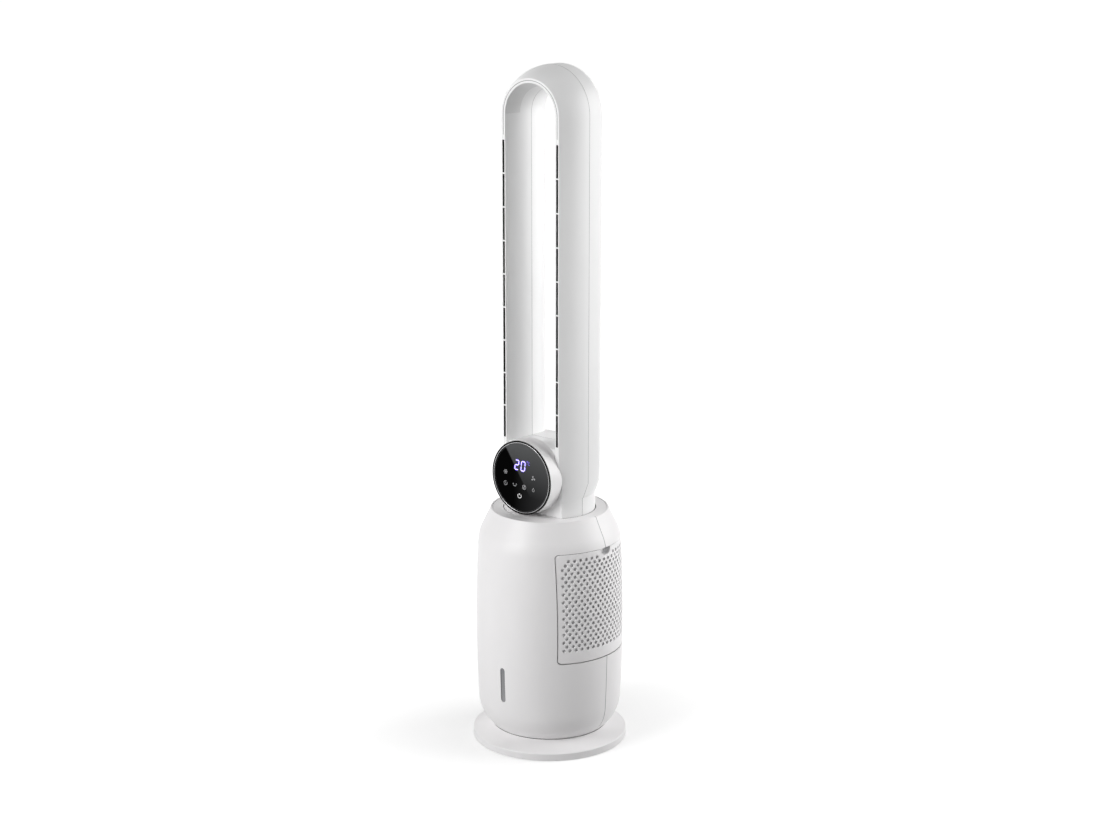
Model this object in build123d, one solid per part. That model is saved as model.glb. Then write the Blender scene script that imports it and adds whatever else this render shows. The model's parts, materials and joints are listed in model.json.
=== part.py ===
from build123d import *
import math
import os

# A tower fan without open blades, with an evaporative air cooler in its foot.
# The front of the fan faces -Y. +X is to the right for someone who stands in front of it. +Z is up.
# The origin is on the floor, on the axis about which the tower swings. All sizes are in millimetres.

# ---- overall stack, heights above the floor ----
FOOT_H = 2.0                 # rubber feet under the base disc
DISC_RIM_H = 12.4            # top of the base disc's upright rim
HOUSING_Z = 24.6             # bottom edge of the housing, on the base disc
RING_TOP_Z = 387.0           # top of the housing and of its top ring
SADDLE_Z = 497.0             # floor of the long opening
SPRING_Z = 1014.0            # where the legs turn into the arch

# ---- housing, radii of its outline at named heights ----
WALL = 2.6
BELLY_R, BELLY_Z = 118.7, 205.0
LOW_R = BELLY_R - 25.7       # at HOUSING_Z
BELLY_LOW_R, BELLY_LOW_Z = BELLY_R - 3.1, 70.0
SHOULDER_R, SHOULDER_Z = BELLY_R - 3.8, 334.0
CONE_R, CONE_Z = SHOULDER_R - 5.1, 355.0
PARTING_GAP = 0.3            # visible line between two halves of a moulding
GAP = 0.6                    # visible gap round a part that comes off
SEAT = 0.3                   # clearance behind curved faces of neighbours

# ---- base disc ----
DISC_R = 125.0
DISC_WALL = 3.0
DISC_FLAT_R = LOW_R + 1.5
DISC_EDGE = 1.6              # rounding of the rim
FEET = 4
FOOT_R = 10.0
FOOT_PITCH_R = DISC_R - 21.0
BASE_SCREW_R = DISC_FLAT_R - 16.0    # circle on which the four screws stand
BALLAST_R = BASE_SCREW_R - 8.5
BALLAST_W, BALLAST_T = 36.0, 5.0

# ---- top ring and turntable ----
NECK_R = 73.0
NECK_GAP = 1.3               # dark running gap between ring and neck
RING_W = 17.1
RING_R = NECK_R + NECK_GAP + RING_W
RING_T = 3.4
RING_CHAMFER = 0.5
TOP_R = RING_R + 2.8         # housing at RING_TOP_Z
TURNTABLE_T = 6.5
TURNTABLE_SINK = 0.5         # how far the turntable lies below the ring's top
DUCT_TUBE_R = 49.5           # air tube of the turntable, through the deck
TUBE_T = 2.5
SKIRT_R = DUCT_TUBE_R + 12.5
SKIRT_T = 4.0
DECK_Z = 352.0
DECK_T = 3.0
SLIDE_RING_T = 3.0
RETAINER_T = 3.0
RETAINER_GAP = 1.5           # between the retainer and the blower's duct
RUN_GAP = 0.3                # between faces that turn past each other

# ---- swing gear, full depth teeth cut short ----
MODULE = 1.5
RACK_RIM = 5.5               # from the skirt to the rack's pitch circle
RACK_TEETH = round(2 * (SKIRT_R + RACK_RIM) / MODULE)    # teeth on the full circle
RACK_CUT_TEETH = 29          # teeth that the sector has
PINION_TEETH = 15
PRESSURE_DEG = 20.0
ADDENDUM = 0.8 * MODULE
DEDENDUM = 1.1 * MODULE
BACKLASH = 0.30
RACK_T = 7.0
PINION_T = 6.0
SWING_SHAFT_R = 2.5
SHAFT_FIT = 0.05             # radial clearance of a running shaft
SWING_MOTOR_R = 14.0
SWING_MOTOR_H = 16.0
SWING_SHAFT_DEPTH = 8.0          # how far the pinion's shaft reaches into the motor
EAR_SPAN, EAR_W, EAR_T, EAR_LIFT = 44.0, 7.0, 2.0, 1.0

# ---- loop ----
LOOP_WALL = 2.2
LIP_IN, LIP_OUT = 49.8, 56.8     # inner and outer edge of the flat front lip, from the axis
LIP_Y = -47.0
LEG_IN, LEG_OUT = 40.2, NECK_R + 2.0    # inner and outer wall where the leg is widest
OUT_TANGENT_Y = 12.0             # where the outer bulge becomes parallel to Y
IN_TANGENT_Y = 10.0
BACK_Y = 48.0
BACK_OUT_R = 20.4                # rounding of the outer rear corner
LOOP_SEAM_Y = 5.0
NECK_SEAM_Y = -7.0
SEAM_HIGH_Z, SEAM_LOW_Z = 437.0, 413.6
SLOT_X = 53.4
SLOT_W = 3.0
SLOTS = 9
SLOT_PITCH = 52.6
SLOT_LEN = 50.4
SLOT_TOP_Z = 974.0
GROOVE_W, GROOVE_DEPTH = 0.9, 0.5       # fine line in the lip above the slots and round the arch
GROOVE_START = 8.0               # above the top slot
FACET_Y = -19.5                  # rear edge of the flat facet inside the arch
STRIP_WALL = 0.7
STRIP_DEPTH = 9.0

# ---- neck ----
NECK_WALL = 2.4
NECK_FLAT_Y = -(NECK_R - 30.5)
NECK_TOP_Z = 414.5
NECK_SHOULDER_R, NECK_SHOULDER_Z = NECK_R - 0.7, 445.0
NECK_DOME_R, NECK_DOME_Z = NECK_R - 21.0, 464.0
FLARE_R, FLARE_Z = LEG_OUT + 6.5, 450.0    # where the trim of the legs' lower ends fades out

# ---- display ----
DRUM_R = 60.0
DRUM_Z = 449.0
DRUM_FRONT_Y = -(NECK_R - 3.5)
DRUM_WALL = 2.5
BEZEL_W = 2.6
GLASS_R = 57.0
GLASS_T = 2.0
GLASS_INSET = 0.8
BOARD_R = 50.0
BOARD_T = 1.6
DIGIT_W, DIGIT_H = 34.0, 20.0
DIGIT_Z = 17.0                   # height of the digits above the drum's centre

# ---- side covers ----
COVER_HALF_W = 83.0
COVER_Z0, COVER_Z1 = 160.5, 340.0
COVER_CORNER = 5.0
MIN_CORNER = 1.0
NOTCH_R = 11.5
HOLE_R = 4.4
HOLE_ROWS = 9
HOLE_ROW0_Z, HOLE_ROW_PITCH = 186.0, 17.4
HOLE_COLS = 8
HOLE_COL_PITCH_DEG = 11.0
FRAME_T = 2.0
FRAME_LAP = 6.0                  # how far the frame shows inside the cover's opening
CUP_R = 12.0
CUP_DEPTH = 11.0
CUP_WALL = 1.5
CUP_TAB_Z = COVER_Z1 - CUP_R - CUP_WALL - 0.5   # lower end of the frame's tab round the cup
PAD_T, PAD_HALF_W = 16.0, 55.0
PAD_X = BELLY_R - 44.7
PAD_Z0, PAD_Z1 = 172.0, CUP_TAB_Z - 2.0      # it passes under the tab when it comes out
FILTER_T = 1.2
CLIP_T, CLIP_W = 2.0, 8.0

# ---- water tank ----
TANK_HALF_W = 74.0
TANK_Z0, TANK_Z1 = 33.0, 149.0
TANK_WALL = 2.2
TANK_GAP = 1.2                   # between tank and housing
TRAY_Z = TANK_Z0 - GAP           # face on which the tank slides
TRAY_T = 3.0
TANK_FRONT_Y = -(BELLY_R - 6.7)  # the tank stops short of the level window
RAIL_H, RAIL_LEN, RAIL_T = 10.0, 90.0, 2.0
PULL_W, PULL_H, PULL_DEPTH = 70.0, 18.0, 9.0
PULL_Z = 128.0
WINDOW_W, WINDOW_Z0, WINDOW_Z1 = 9.0, 87.0, 145.0
WINDOW_INSET = 1.0
WINDOW_FLANGE = 2.5
MID_DECK_Z = 151.0
PUMP_R, PUMP_H = 17.0, 34.0
DUCT_R, DUCT_WALL = DUCT_TUBE_R + 11.0, 2.5    # the blower's duct
HOSE_R = DUCT_R + 11.5           # the hose bends round the blower duct on this radius
HOSE_TO_DEG, RISER_DEG = -30.0, -65.0
PUMP_GRILLE_H, PUMP_GRILLE_PITCH, PUMP_GRILLE_DEPTH = 2.4, 7.0, 3.0
PIPE_R, PIPE_BORE_R = 4.0, 2.6
TROUGH_W, TROUGH_H, TROUGH_HALF_L, TROUGH_WALL = 14.0, 9.0, 54.0, 1.6
TROUGH_Z = 336.0

# ---- blower ----
DUCT_Z0 = 250.0
BELL_R, BELL_H = DUCT_R - 14.5, 10.0
STATOR_VANES, VANE_DEG, VANE_T, VANE_H = 7, 18.0, 1.8, 30.0
POD_R, POD_WALL, POD_Z0, POD_Z1 = 29.8, 2.3, 299.0, 341.0
MOTOR_R, MOTOR_H = 27.2, 34.0
SHAFT_R = 3.0
SHAFT_Z0 = 259.0
BLADES = 9
IMPELLER_R, IMPELLER_Z0, IMPELLER_Z1 = DUCT_R - 6.5, 266.0, 294.0
HUB_R = 19.0
BLADE_T = 1.6
BLADE_RISE = 26.0                # how far a blade's tip lies to the side of its root
BLADE_ARC_R = IMPELLER_R - 2.0
NUT_R, NUT_H = 6.0, 5.0
CAP_RISE = 6.5

# ---- electronics ----
PCB_W, PCB_H, PCB_T = 84.0, 70.0, 1.6
PCB_Y, PCB_Z = BELLY_R - 22.7, 222.0
SOCKET_W, SOCKET_H, SOCKET_D, SOCKET_Z = 30.0, 22.0, 24.0, 172.0
BOSS_R = 3.5
SCREW_R, SCREW_HEAD_R, SCREW_HEAD_H = 2.0, 3.8, 2.4
SCREW_CLEAR = 0.1

HEX = 6
BIG = 400.0                      # longer than anything it cuts
HALF_TURN = 180.0


def xz_face(*edges):
    """A face in the XZ plane, for turning about Z, from edges drawn with x as radius and y as height."""
    return Plane.XZ * make_face(Wire(edges))


def turned(*edges):
    return revolve(xz_face(*edges), Axis.Z)


def upright_block(half_w, z0, z1, x0, x1, corner=0.0):
    """A block along +X with rounded corners seen from the side, as a moulding tool draws it."""
    face = RectangleRounded(2 * half_w, z1 - z0, corner) if corner else Rectangle(2 * half_w, z1 - z0)
    return extrude(Plane.YZ.offset(x0) * Pos(0, (z0 + z1) / 2) * face, x1 - x0)


def tube(outer_r, wall, z0, z1):
    height = z1 - z0
    ring = Circle(outer_r) - Circle(outer_r - wall)
    return Pos(0, 0, z0) * extrude(ring, height)


def disc(radius, z0, z1):
    return Pos(0, 0, z0) * extrude(Circle(radius), z1 - z0)


def bar_y(radius, x, z, y0, y1):
    """A round bar along +Y."""
    return Pos(x, y0, z) * Rot(-90, 0, 0) * extrude(Circle(radius), y1 - y0)


def screw(length):
    """A six-sided head on top of z = 0 and the shank below."""
    head = extrude(RegularPolygon(SCREW_HEAD_R, HEX), SCREW_HEAD_H)
    return head + Pos(0, 0, -length) * extrude(RegularPolygon(SCREW_R, HEX), length)


def arc_about(centre, start, end):
    """The short arc from start to end about a centre."""
    c, a, b = Vector(*centre), Vector(*start), Vector(*end)
    middle = (a - c).normalized() + (b - c).normalized()
    return ThreePointArc(a, c + middle.normalized() * (a - c).length, b)


def both_sides(shape):
    return [shape, mirror(shape, Plane.YZ)]


# ---------------------------------------------------------------- housing


def housing_solid(inset=0.0):
    """The barrel of the housing as a solid, its wall moved in by an inset."""
    low = (LOW_R - inset, HOUSING_Z)
    belly_low = (BELLY_LOW_R - inset, BELLY_LOW_Z)
    shoulder = (SHOULDER_R - inset, SHOULDER_Z)
    cone = (CONE_R - inset, CONE_Z)
    top = (TOP_R - inset, RING_TOP_Z)
    belly = ThreePointArc(belly_low, (BELLY_R - inset, BELLY_Z), shoulder)
    return turned(
        Line((0, HOUSING_Z), low),
        TangentArc(belly_low, low, tangent=-(belly % 0)),
        belly,
        TangentArc(shoulder, cone, tangent=belly % 1),
        Line(cone, top),
        Line(top, (0, RING_TOP_Z)),
        Line((0, RING_TOP_Z), (0, HOUSING_Z)),
    )


def cover_cutter(clear=0.0):
    """What a side cover's edge cuts out of the wall on the +X side, less a clearance all round."""
    return upright_block(
        COVER_HALF_W - clear, COVER_Z0 + clear, COVER_Z1 - clear, 0, BIG,
        max(COVER_CORNER - clear, MIN_CORNER),
    )


def tank_cutter(clear=0.0):
    """The tank front's outline, cut through the rear wall."""
    block = upright_block(
        TANK_HALF_W - clear, TANK_Z0 + clear, TANK_Z1 - clear, 0, BIG,
        max(COVER_CORNER - clear, MIN_CORNER),
    )
    return Rot(0, 0, 90) * block


def window_slot(grow=0.0, y0=-BIG, y1=0.0):
    """The level window's outline, an upright slot with round ends in the front wall."""
    height = WINDOW_Z1 - WINDOW_Z0
    face = Rot(0, 0, 90) * SlotOverall(height + 2 * grow, WINDOW_W + 2 * grow)
    return extrude(Plane.XZ.offset(-y1) * Pos(0, (WINDOW_Z0 + WINDOW_Z1) / 2) * face, y1 - y0)


def pcb_boss_places():
    dx, dz = PCB_W / 2 - 2 * BOSS_R, PCB_H / 2 - 2 * BOSS_R
    return [(x, PCB_Z + z) for x in (-dx, dx) for z in (-dz, dz)]


def make_shells():
    """Front and rear half of the housing, with openings for covers, window, tank and power inlet."""
    shell = housing_solid() - housing_solid(WALL)
    for cutter in both_sides(cover_cutter(-GAP)):
        shell -= cutter
    shell -= disc(TOP_R - WALL, RING_TOP_Z - RING_T, RING_TOP_Z + 1)
    shell -= Box(BIG, PARTING_GAP, 2 * BIG)
    halves = shell.solids()
    front = min(halves, key=lambda s: s.center().Y)
    rear = max(halves, key=lambda s: s.center().Y)
    front -= window_slot()
    rear -= tank_cutter(-GAP)
    rear -= Pos(0, BELLY_R, SOCKET_Z) * Box(SOCKET_W, 4 * SOCKET_D, SOCKET_H)
    for x, z in pcb_boss_places():
        rear += bar_y(BOSS_R, x, z, PCB_Y + PCB_T, BELLY_R) & housing_solid(WALL / 2)
    return front, rear


def make_level_window():
    """The clear window, sunk a little below the wall, with a flange behind it."""
    slot = window_slot(-SHAFT_FIT) & (housing_solid(WINDOW_INSET) - housing_solid(WALL + SEAT))
    flange = window_slot(WINDOW_FLANGE) & (housing_solid(WALL + SEAT) - housing_solid(WALL + SEAT + 1))
    return slot + flange


def make_top_ring():
    """The flat ring that closes the housing round the neck, with a lip that guides the turntable."""
    bore = NECK_R + NECK_GAP
    ring = tube(RING_R, RING_R - bore, RING_TOP_Z - RING_T, RING_TOP_Z)
    return chamfer(ring.edges().group_by(Axis.Z)[-1], RING_CHAMFER)


# ---------------------------------------------------------------- base


def make_base_disc():
    """The foot: a shallow dish, hollow below, with posts for the feet."""
    bottom, top = FOOT_H - 1.0, HOUSING_Z
    def dish(wall):
        rim_r, rim_z, flat_z = DISC_R - wall, DISC_RIM_H - wall, top - wall
        return turned(
            Line((0, bottom), (rim_r, bottom)),
            Line((rim_r, bottom), (rim_r, rim_z)),
            Line((rim_r, rim_z), (DISC_FLAT_R, flat_z)),
            Line((DISC_FLAT_R, flat_z), (0, flat_z)),
            Line((0, flat_z), (0, bottom)),
        )
    outside = dish(0)
    outside = fillet(outside.edges().filter_by(GeomType.CIRCLE).group_by(Axis.Z)[-2], DISC_EDGE)
    foot = outside - dish(DISC_WALL)
    for post in PolarLocations(FOOT_PITCH_R, FEET, start_angle=45):
        foot += post * disc(FOOT_R, FOOT_H, top) & outside
    for hole in base_screw_places():
        foot -= hole * disc(SCREW_R + SCREW_CLEAR, 0, BIG)
    return foot


def base_screw_places():
    return PolarLocations(BASE_SCREW_R, 4)


def make_feet():
    return [place * disc(FOOT_R - 1, 0, FOOT_H) for place in PolarLocations(FOOT_PITCH_R, FEET, start_angle=45)]


def make_ballast():
    """A steel ring that keeps the tall fan from tipping, under the disc's top."""
    top = HOUSING_Z - DISC_WALL
    return tube(BALLAST_R, BALLAST_W, top - BALLAST_T, top)


def make_base_screws():
    flip = Rot(HALF_TURN, 0, 0)
    z = HOUSING_Z - DISC_WALL
    return [place * Pos(0, 0, z) * flip * screw(DISC_WALL + 4) for place in base_screw_places()]


def make_tray():
    """The housing's floor on a rim and four bosses, with rails that guide the tank."""
    inside = housing_solid(WALL + SEAT)
    floor = disc(BELLY_R, TRAY_Z - TRAY_T, TRAY_Z) & inside
    floor += tube(LOW_R - WALL - SEAT, TRAY_T, HOUSING_Z, TRAY_Z)
    for hole in base_screw_places():
        floor += hole * disc(2 * BOSS_R, HOUSING_Z, TRAY_Z)
        floor -= hole * disc(SCREW_R + SCREW_CLEAR, 0, TRAY_Z - 1)
    rail_x = tank_box_half_w() + GAP + RAIL_T / 2
    rail = Pos(rail_x, 0, TRAY_Z + RAIL_H / 2) * Box(RAIL_T, RAIL_LEN, RAIL_H)
    for side in both_sides(rail):
        floor += side
    return floor


# ---------------------------------------------------------------- tank


def tank_box_half_w():
    return TANK_HALF_W - 2 * TANK_GAP


def make_tank():
    """An open box with a curved back that follows the housing and a flat stretch behind the window."""
    half_w = tank_box_half_w()
    z0, z1 = TRAY_Z + SEAT, TANK_Z1 - TANK_GAP
    def room(wall):
        height = 2 * (z1 - z0)
        face = RectangleRounded(2 * (half_w - wall), height, COVER_CORNER)
        block = extrude(Plane.XZ.offset(-TANK_FRONT_Y - wall) * Pos(0, z0 + wall + height / 2) * face, -BIG)
        return block & housing_solid(WALL + SEAT + wall)
    hollow = room(TANK_WALL) - pull_recess(WALL + SEAT + TANK_WALL)
    return (room(0) & disc(BELLY_R, z0, z1)) - hollow - pull_recess(WALL + SEAT)


def pull_recess(grow):
    """The finger pull's hollow, a rounded pocket in the tank's rear face."""
    face = RectangleRounded(PULL_W + 2 * grow, PULL_H + 2 * grow, PULL_H / 3)
    start = BELLY_R - WALL - PULL_DEPTH - grow
    return extrude(Plane.XZ.offset(-start) * Pos(0, PULL_Z) * face, -BIG)


def make_tank_front():
    """The rear cover of the tank, flush with the housing, with a moulded finger pull."""
    skin = (housing_solid() - housing_solid(WALL)) & tank_cutter()
    pocket = pull_recess(WALL) - pull_recess(0)
    return (skin - pull_recess(0)) + (pocket & housing_solid(WALL / 2))


def riser_place():
    """Where the pump stands and the hose goes up, in front of the blower duct."""
    return Rot(0, 0, RISER_DEG) * Pos(HOSE_R, 0, 0)


def make_pump():
    """The submersible pump on the tank's floor, with its outlet pipe up to the coupling."""
    z0 = TRAY_Z + SEAT + TANK_WALL
    body = disc(PUMP_R, z0, z0 + PUMP_H)
    for row in (1, 2, 3):
        slit = Box(PUMP_R, 2 * PUMP_GRILLE_DEPTH, PUMP_GRILLE_H)
        body -= Pos(0, -PUMP_R, z0 + row * PUMP_GRILLE_PITCH) * slit
    pipe = tube(PIPE_R, PIPE_R - PIPE_BORE_R, z0 + PUMP_H, TANK_Z1)
    return riser_place() * (body + pipe)


# ---------------------------------------------------------------- inner decks and water


def make_mid_deck():
    """The floor between the wet tank bay and the air chamber, with a hole for the hose coupling."""
    deck = disc(BELLY_R, MID_DECK_Z, MID_DECK_Z + DECK_T) & housing_solid(WALL + SEAT)
    deck -= riser_place() * disc(PIPE_R + SCREW_CLEAR, 0, BIG)
    for x in (-PAD_X - PAD_T / 2, PAD_X + PAD_T / 2):
        deck -= Pos(x, 0, MID_DECK_Z) * Box(PAD_T / 2, PAD_HALF_W, 4 * DECK_T)
    return deck


def hose_inlet_y():
    """Where the hose enters a trough."""
    return HOSE_R * math.sin(math.radians(HOSE_TO_DEG))


def make_hose():
    """The riser from the pump's coupling and the pipe round the duct that feeds both troughs."""
    z = TROUGH_Z + TROUGH_H / 2
    reach = PAD_X + PAD_T / 2 - TROUGH_W / 2 + TROUGH_WALL
    turn = [math.radians(a) for a in (HOSE_TO_DEG, RISER_DEG)]
    bends = [(HOSE_R * math.cos(a), HOSE_R * math.sin(a)) for a in turn]
    def run(radius, over=0.0):
        route = [(reach + over, hose_inlet_y(), z)] + [(x, y, z) for x, y in bends]
        route += [(-x, y, z) for x, y in reversed(bends)] + [(-reach - over, hose_inlet_y(), z)]
        start = Plane(origin=route[0], z_dir=(-1, 0, 0))
        across = sweep(start * Circle(radius), Polyline(*route), transition=Transition.RIGHT)
        return across + riser_place() * disc(radius, TANK_Z1 + SEAT - over, z)
    return run(PIPE_R) - run(PIPE_BORE_R, 1.0)


def make_troughs():
    """Two drip troughs that hang from the upper deck above the cooling pads."""
    x, z = PAD_X + PAD_T / 2, TROUGH_Z + TROUGH_H / 2
    trough = Pos(x, 0, z) * Box(TROUGH_W, 2 * TROUGH_HALF_L, TROUGH_H)
    bath = Box(TROUGH_W - 2 * TROUGH_WALL, 2 * (TROUGH_HALF_L - TROUGH_WALL), TROUGH_H)
    trough -= Pos(x, 0, z + TROUGH_WALL) * bath
    trough -= Plane.YZ.offset(PAD_X - TROUGH_W) * Pos(hose_inlet_y(), z) * Cylinder(
        PIPE_R + SHAFT_FIT, 2 * TROUGH_W, align=(Align.CENTER, Align.CENTER, Align.MIN))
    hanger_z0 = TROUGH_Z + TROUGH_WALL
    for y in (-TROUGH_HALF_L / 3, TROUGH_HALF_L * 2 / 3):
        trough += Pos(x, y, (hanger_z0 + DECK_Z) / 2) * Box(TROUGH_W, TROUGH_WALL, DECK_Z - hanger_z0)
    return both_sides(trough)


def make_upper_deck():
    """The plate that carries the turntable, the swing motor and the blower."""
    deck = disc(BELLY_R, DECK_Z, DECK_Z + DECK_T) & housing_solid(WALL + SEAT)
    deck -= disc(DUCT_TUBE_R + RUN_GAP, 0, BIG)
    for place in duct_screw_places():
        deck -= place * disc(SCREW_R + SCREW_CLEAR, 0, BIG)
    return deck


def duct_screw_places():
    return PolarLocations(DUCT_R + 4.5, 3, start_angle=30)


def make_duct_screws():
    flip = Pos(0, 0, DECK_Z - DECK_T) * Rot(HALF_TURN, 0, 0)
    return [place * flip * screw(DECK_T + 2) for place in duct_screw_places()]


# ---------------------------------------------------------------- side covers


def grille_holes():
    """Rows of six-sided holes, each square to the wall, with every second row moved by half a pitch."""
    holes = []
    prism = Rot(0, 90, 0) * extrude(RegularPolygon(HOLE_R, HEX), BIG / 2)
    for row in range(HOLE_ROWS):
        z = HOLE_ROW0_Z + row * HOLE_ROW_PITCH
        count = HOLE_COLS - row % 2
        for col in range(count):
            angle = (col - (count - 1) / 2) * HOLE_COL_PITCH_DEG
            near_notch = math.hypot(BELLY_R * math.sin(math.radians(angle)), z - COVER_Z1)
            if near_notch > NOTCH_R + 2 * HOLE_R:
                holes.append(Pos(0, 0, z) * Rot(0, 0, angle) * prism)
    return holes


def make_cover():
    """The right side cover: a piece of the barrel, perforated, with a finger notch in its top edge."""
    panel = (housing_solid() - housing_solid(WALL)) & cover_cutter()
    panel -= x_disc(NOTCH_R, 0)
    return panel - grille_holes()


def make_side_frame():
    """The rim behind a cover on which it rests, with the finger cup behind the notch."""
    inset = WALL + SEAT
    skin = housing_solid(inset) - housing_solid(inset + FRAME_T)
    frame = skin & cover_cutter(-FRAME_LAP)
    window = cover_cutter(FRAME_LAP)
    window -= upright_block(CUP_R + FRAME_LAP, CUP_TAB_Z, COVER_Z1, 0, BIG)
    frame -= window
    below = upright_block(2 * CUP_R, CUP_TAB_Z - CUP_R, COVER_Z1 + GAP, 0, BIG)
    cup_x = BELLY_R - WALL - CUP_DEPTH
    cup = x_disc(CUP_R + CUP_WALL, cup_x - CUP_WALL) & below & housing_solid(inset)
    hollow = x_disc(CUP_R, cup_x) & Pos(0, 0, -CUP_WALL) * below
    return frame + cup - hollow


def x_disc(radius, x0):
    """A round bar along +X at the height of a cover's top edge."""
    return extrude(Plane.YZ.offset(x0) * Pos(0, COVER_Z1) * Circle(radius), BIG)


def make_filter():
    """The fine dust mesh behind the holes of a cover, as a thin curved sheet."""
    inset = WALL + SEAT
    skin = housing_solid(inset) - housing_solid(inset + FILTER_T)
    return skin & upright_block(COVER_HALF_W - 2 * FRAME_LAP, COVER_Z0 + 2 * FRAME_LAP,
                                COVER_Z1 - 2 * CUP_R - 1, 0, BIG)


def make_pad():
    """The wet cooling pad, a flat block in a tray, with posts that clip it to the cover."""
    return Pos(PAD_X + PAD_T / 2, 0, (PAD_Z0 + PAD_Z1) / 2) * Box(PAD_T, 2 * PAD_HALF_W, PAD_Z1 - PAD_Z0)


def make_pad_clips():
    """Four flat clips from the cover's inner face to the pad."""
    clips = []
    room = housing_solid(WALL + SEAT + FILTER_T + SCREW_CLEAR)
    for y in (-PAD_HALF_W + CLIP_W, PAD_HALF_W - CLIP_W):
        for z in (PAD_Z0 + CLIP_W, COVER_Z1 - 2 * CUP_R - CLIP_W):
            clip = Pos(PAD_X + PAD_T, y, z) * Box(
                BIG, CLIP_T, CLIP_W, align=(Align.MIN, Align.CENTER, Align.CENTER))
            clips.append(clip & room)
    return clips


# ---------------------------------------------------------------- blower


def make_duct():
    """The blower's duct: bell mouth, straight tube, flange and the vanes that hold the motor pod."""
    top = DECK_Z - DECK_T
    inner = DUCT_R - DUCT_WALL
    wall = tube(DUCT_R, DUCT_WALL, DUCT_Z0, top)
    flange = tube(DUCT_R + 9, DUCT_WALL + 9, top, DECK_Z)
    for place in duct_screw_places():
        flange -= place * disc(SCREW_R + SCREW_CLEAR, 0, BIG)
    bell = turned(
        Line((inner + 1, DUCT_Z0), (BELL_R, DUCT_Z0 + BELL_H)),
        Line((BELL_R, DUCT_Z0 + BELL_H), (BELL_R + DUCT_WALL, DUCT_Z0 + BELL_H)),
        Line((BELL_R + DUCT_WALL, DUCT_Z0 + BELL_H), (inner + 1, DUCT_Z0 + DUCT_WALL)),
        Line((inner + 1, DUCT_Z0 + DUCT_WALL), (inner + 1, DUCT_Z0)),
    )
    pod = tube(POD_R, POD_WALL, POD_Z0, POD_Z1) + tube(POD_R, POD_R - SHAFT_R - 3, POD_Z0, POD_Z0 + POD_WALL)
    duct = wall + flange + bell + pod
    span = inner - POD_R + DUCT_WALL
    vane = Pos((inner + POD_R) / 2, 0, (POD_Z0 + POD_Z1) / 2) * Rot(VANE_DEG, 0, 0) * Box(span, VANE_T, VANE_H)
    for place in PolarLocations(0, STATOR_VANES):
        duct += place * vane
    return duct


def make_motor():
    """The motor can with a bore for its shaft."""
    z0 = POD_Z0 + POD_WALL
    can = disc(MOTOR_R, z0, z0 + MOTOR_H) + disc(SHAFT_R + 4, z0 + MOTOR_H, z0 + MOTOR_H + 3)
    return can - disc(SHAFT_R + SHAFT_FIT, 0, z0 + MOTOR_H)


def make_motor_cap():
    """The shallow dome that closes the pod."""
    sphere_r = (POD_R ** 2 + CAP_RISE ** 2) / (2 * CAP_RISE)
    top = (0, POD_Z1 + CAP_RISE)
    return turned(
        Line((0, POD_Z1), (POD_R, POD_Z1)),
        arc_about((0, top[1] - sphere_r), (POD_R, POD_Z1), top),
        Line(top, (0, POD_Z1)),
    )


def make_shaft():
    return disc(SHAFT_R, SHAFT_Z0, POD_Z0 + POD_WALL + MOTOR_H - 1)


def make_impeller():
    """A mixed-flow wheel: a conical hub and backward-swept blades cut to the duct's shape."""
    hub = turned(
        Line((0, IMPELLER_Z0), (HUB_R * 0.55, IMPELLER_Z0)),
        ThreePointArc((HUB_R * 0.55, IMPELLER_Z0), (HUB_R, IMPELLER_Z0 + 14), (POD_R - 1, IMPELLER_Z1)),
        Line((POD_R - 1, IMPELLER_Z1), (0, IMPELLER_Z1)),
        Line((0, IMPELLER_Z1), (0, IMPELLER_Z0)),
    )
    envelope = turned(
        Line((0, IMPELLER_Z0 + 2), (BELL_R - 3, IMPELLER_Z0 + 2)),
        ThreePointArc((BELL_R - 3, IMPELLER_Z0 + 2), (IMPELLER_R - 3.5, IMPELLER_Z0 + 9), (IMPELLER_R, IMPELLER_Z1 - 8)),
        Line((IMPELLER_R, IMPELLER_Z1 - 8), (IMPELLER_R, IMPELLER_Z1)),
        Line((IMPELLER_R, IMPELLER_Z1), (0, IMPELLER_Z1)),
        Line((0, IMPELLER_Z1), (0, IMPELLER_Z0 + 2)),
    )
    root, tip = (HUB_R * 0.5, 0), (IMPELLER_R + 2, BLADE_RISE)
    sweep = RadiusArc(root, tip, -BLADE_ARC_R)
    back = RadiusArc((tip[0], tip[1] + 2 * BLADE_T), (root[0], BLADE_T), BLADE_ARC_R)
    ends = [Line(sweep @ 1, back @ 0), Line(back @ 1, sweep @ 0)]
    blade_face = make_face(Wire([sweep, ends[0], back, ends[1]]))
    blade = Pos(0, 0, IMPELLER_Z0) * extrude(blade_face, IMPELLER_Z1 - IMPELLER_Z0) & envelope
    wheel = hub
    for place in PolarLocations(0, BLADES):
        wheel += place * blade
    return wheel - disc(SHAFT_R + SHAFT_FIT, 0, BIG)


def make_nut():
    nut = Pos(0, 0, IMPELLER_Z0 - NUT_H) * extrude(RegularPolygon(NUT_R, HEX), NUT_H)
    return nut - disc(SHAFT_R + SHAFT_FIT, 0, BIG)


# ---------------------------------------------------------------- swing drive


def involute(angle):
    return math.tan(angle) - angle


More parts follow.
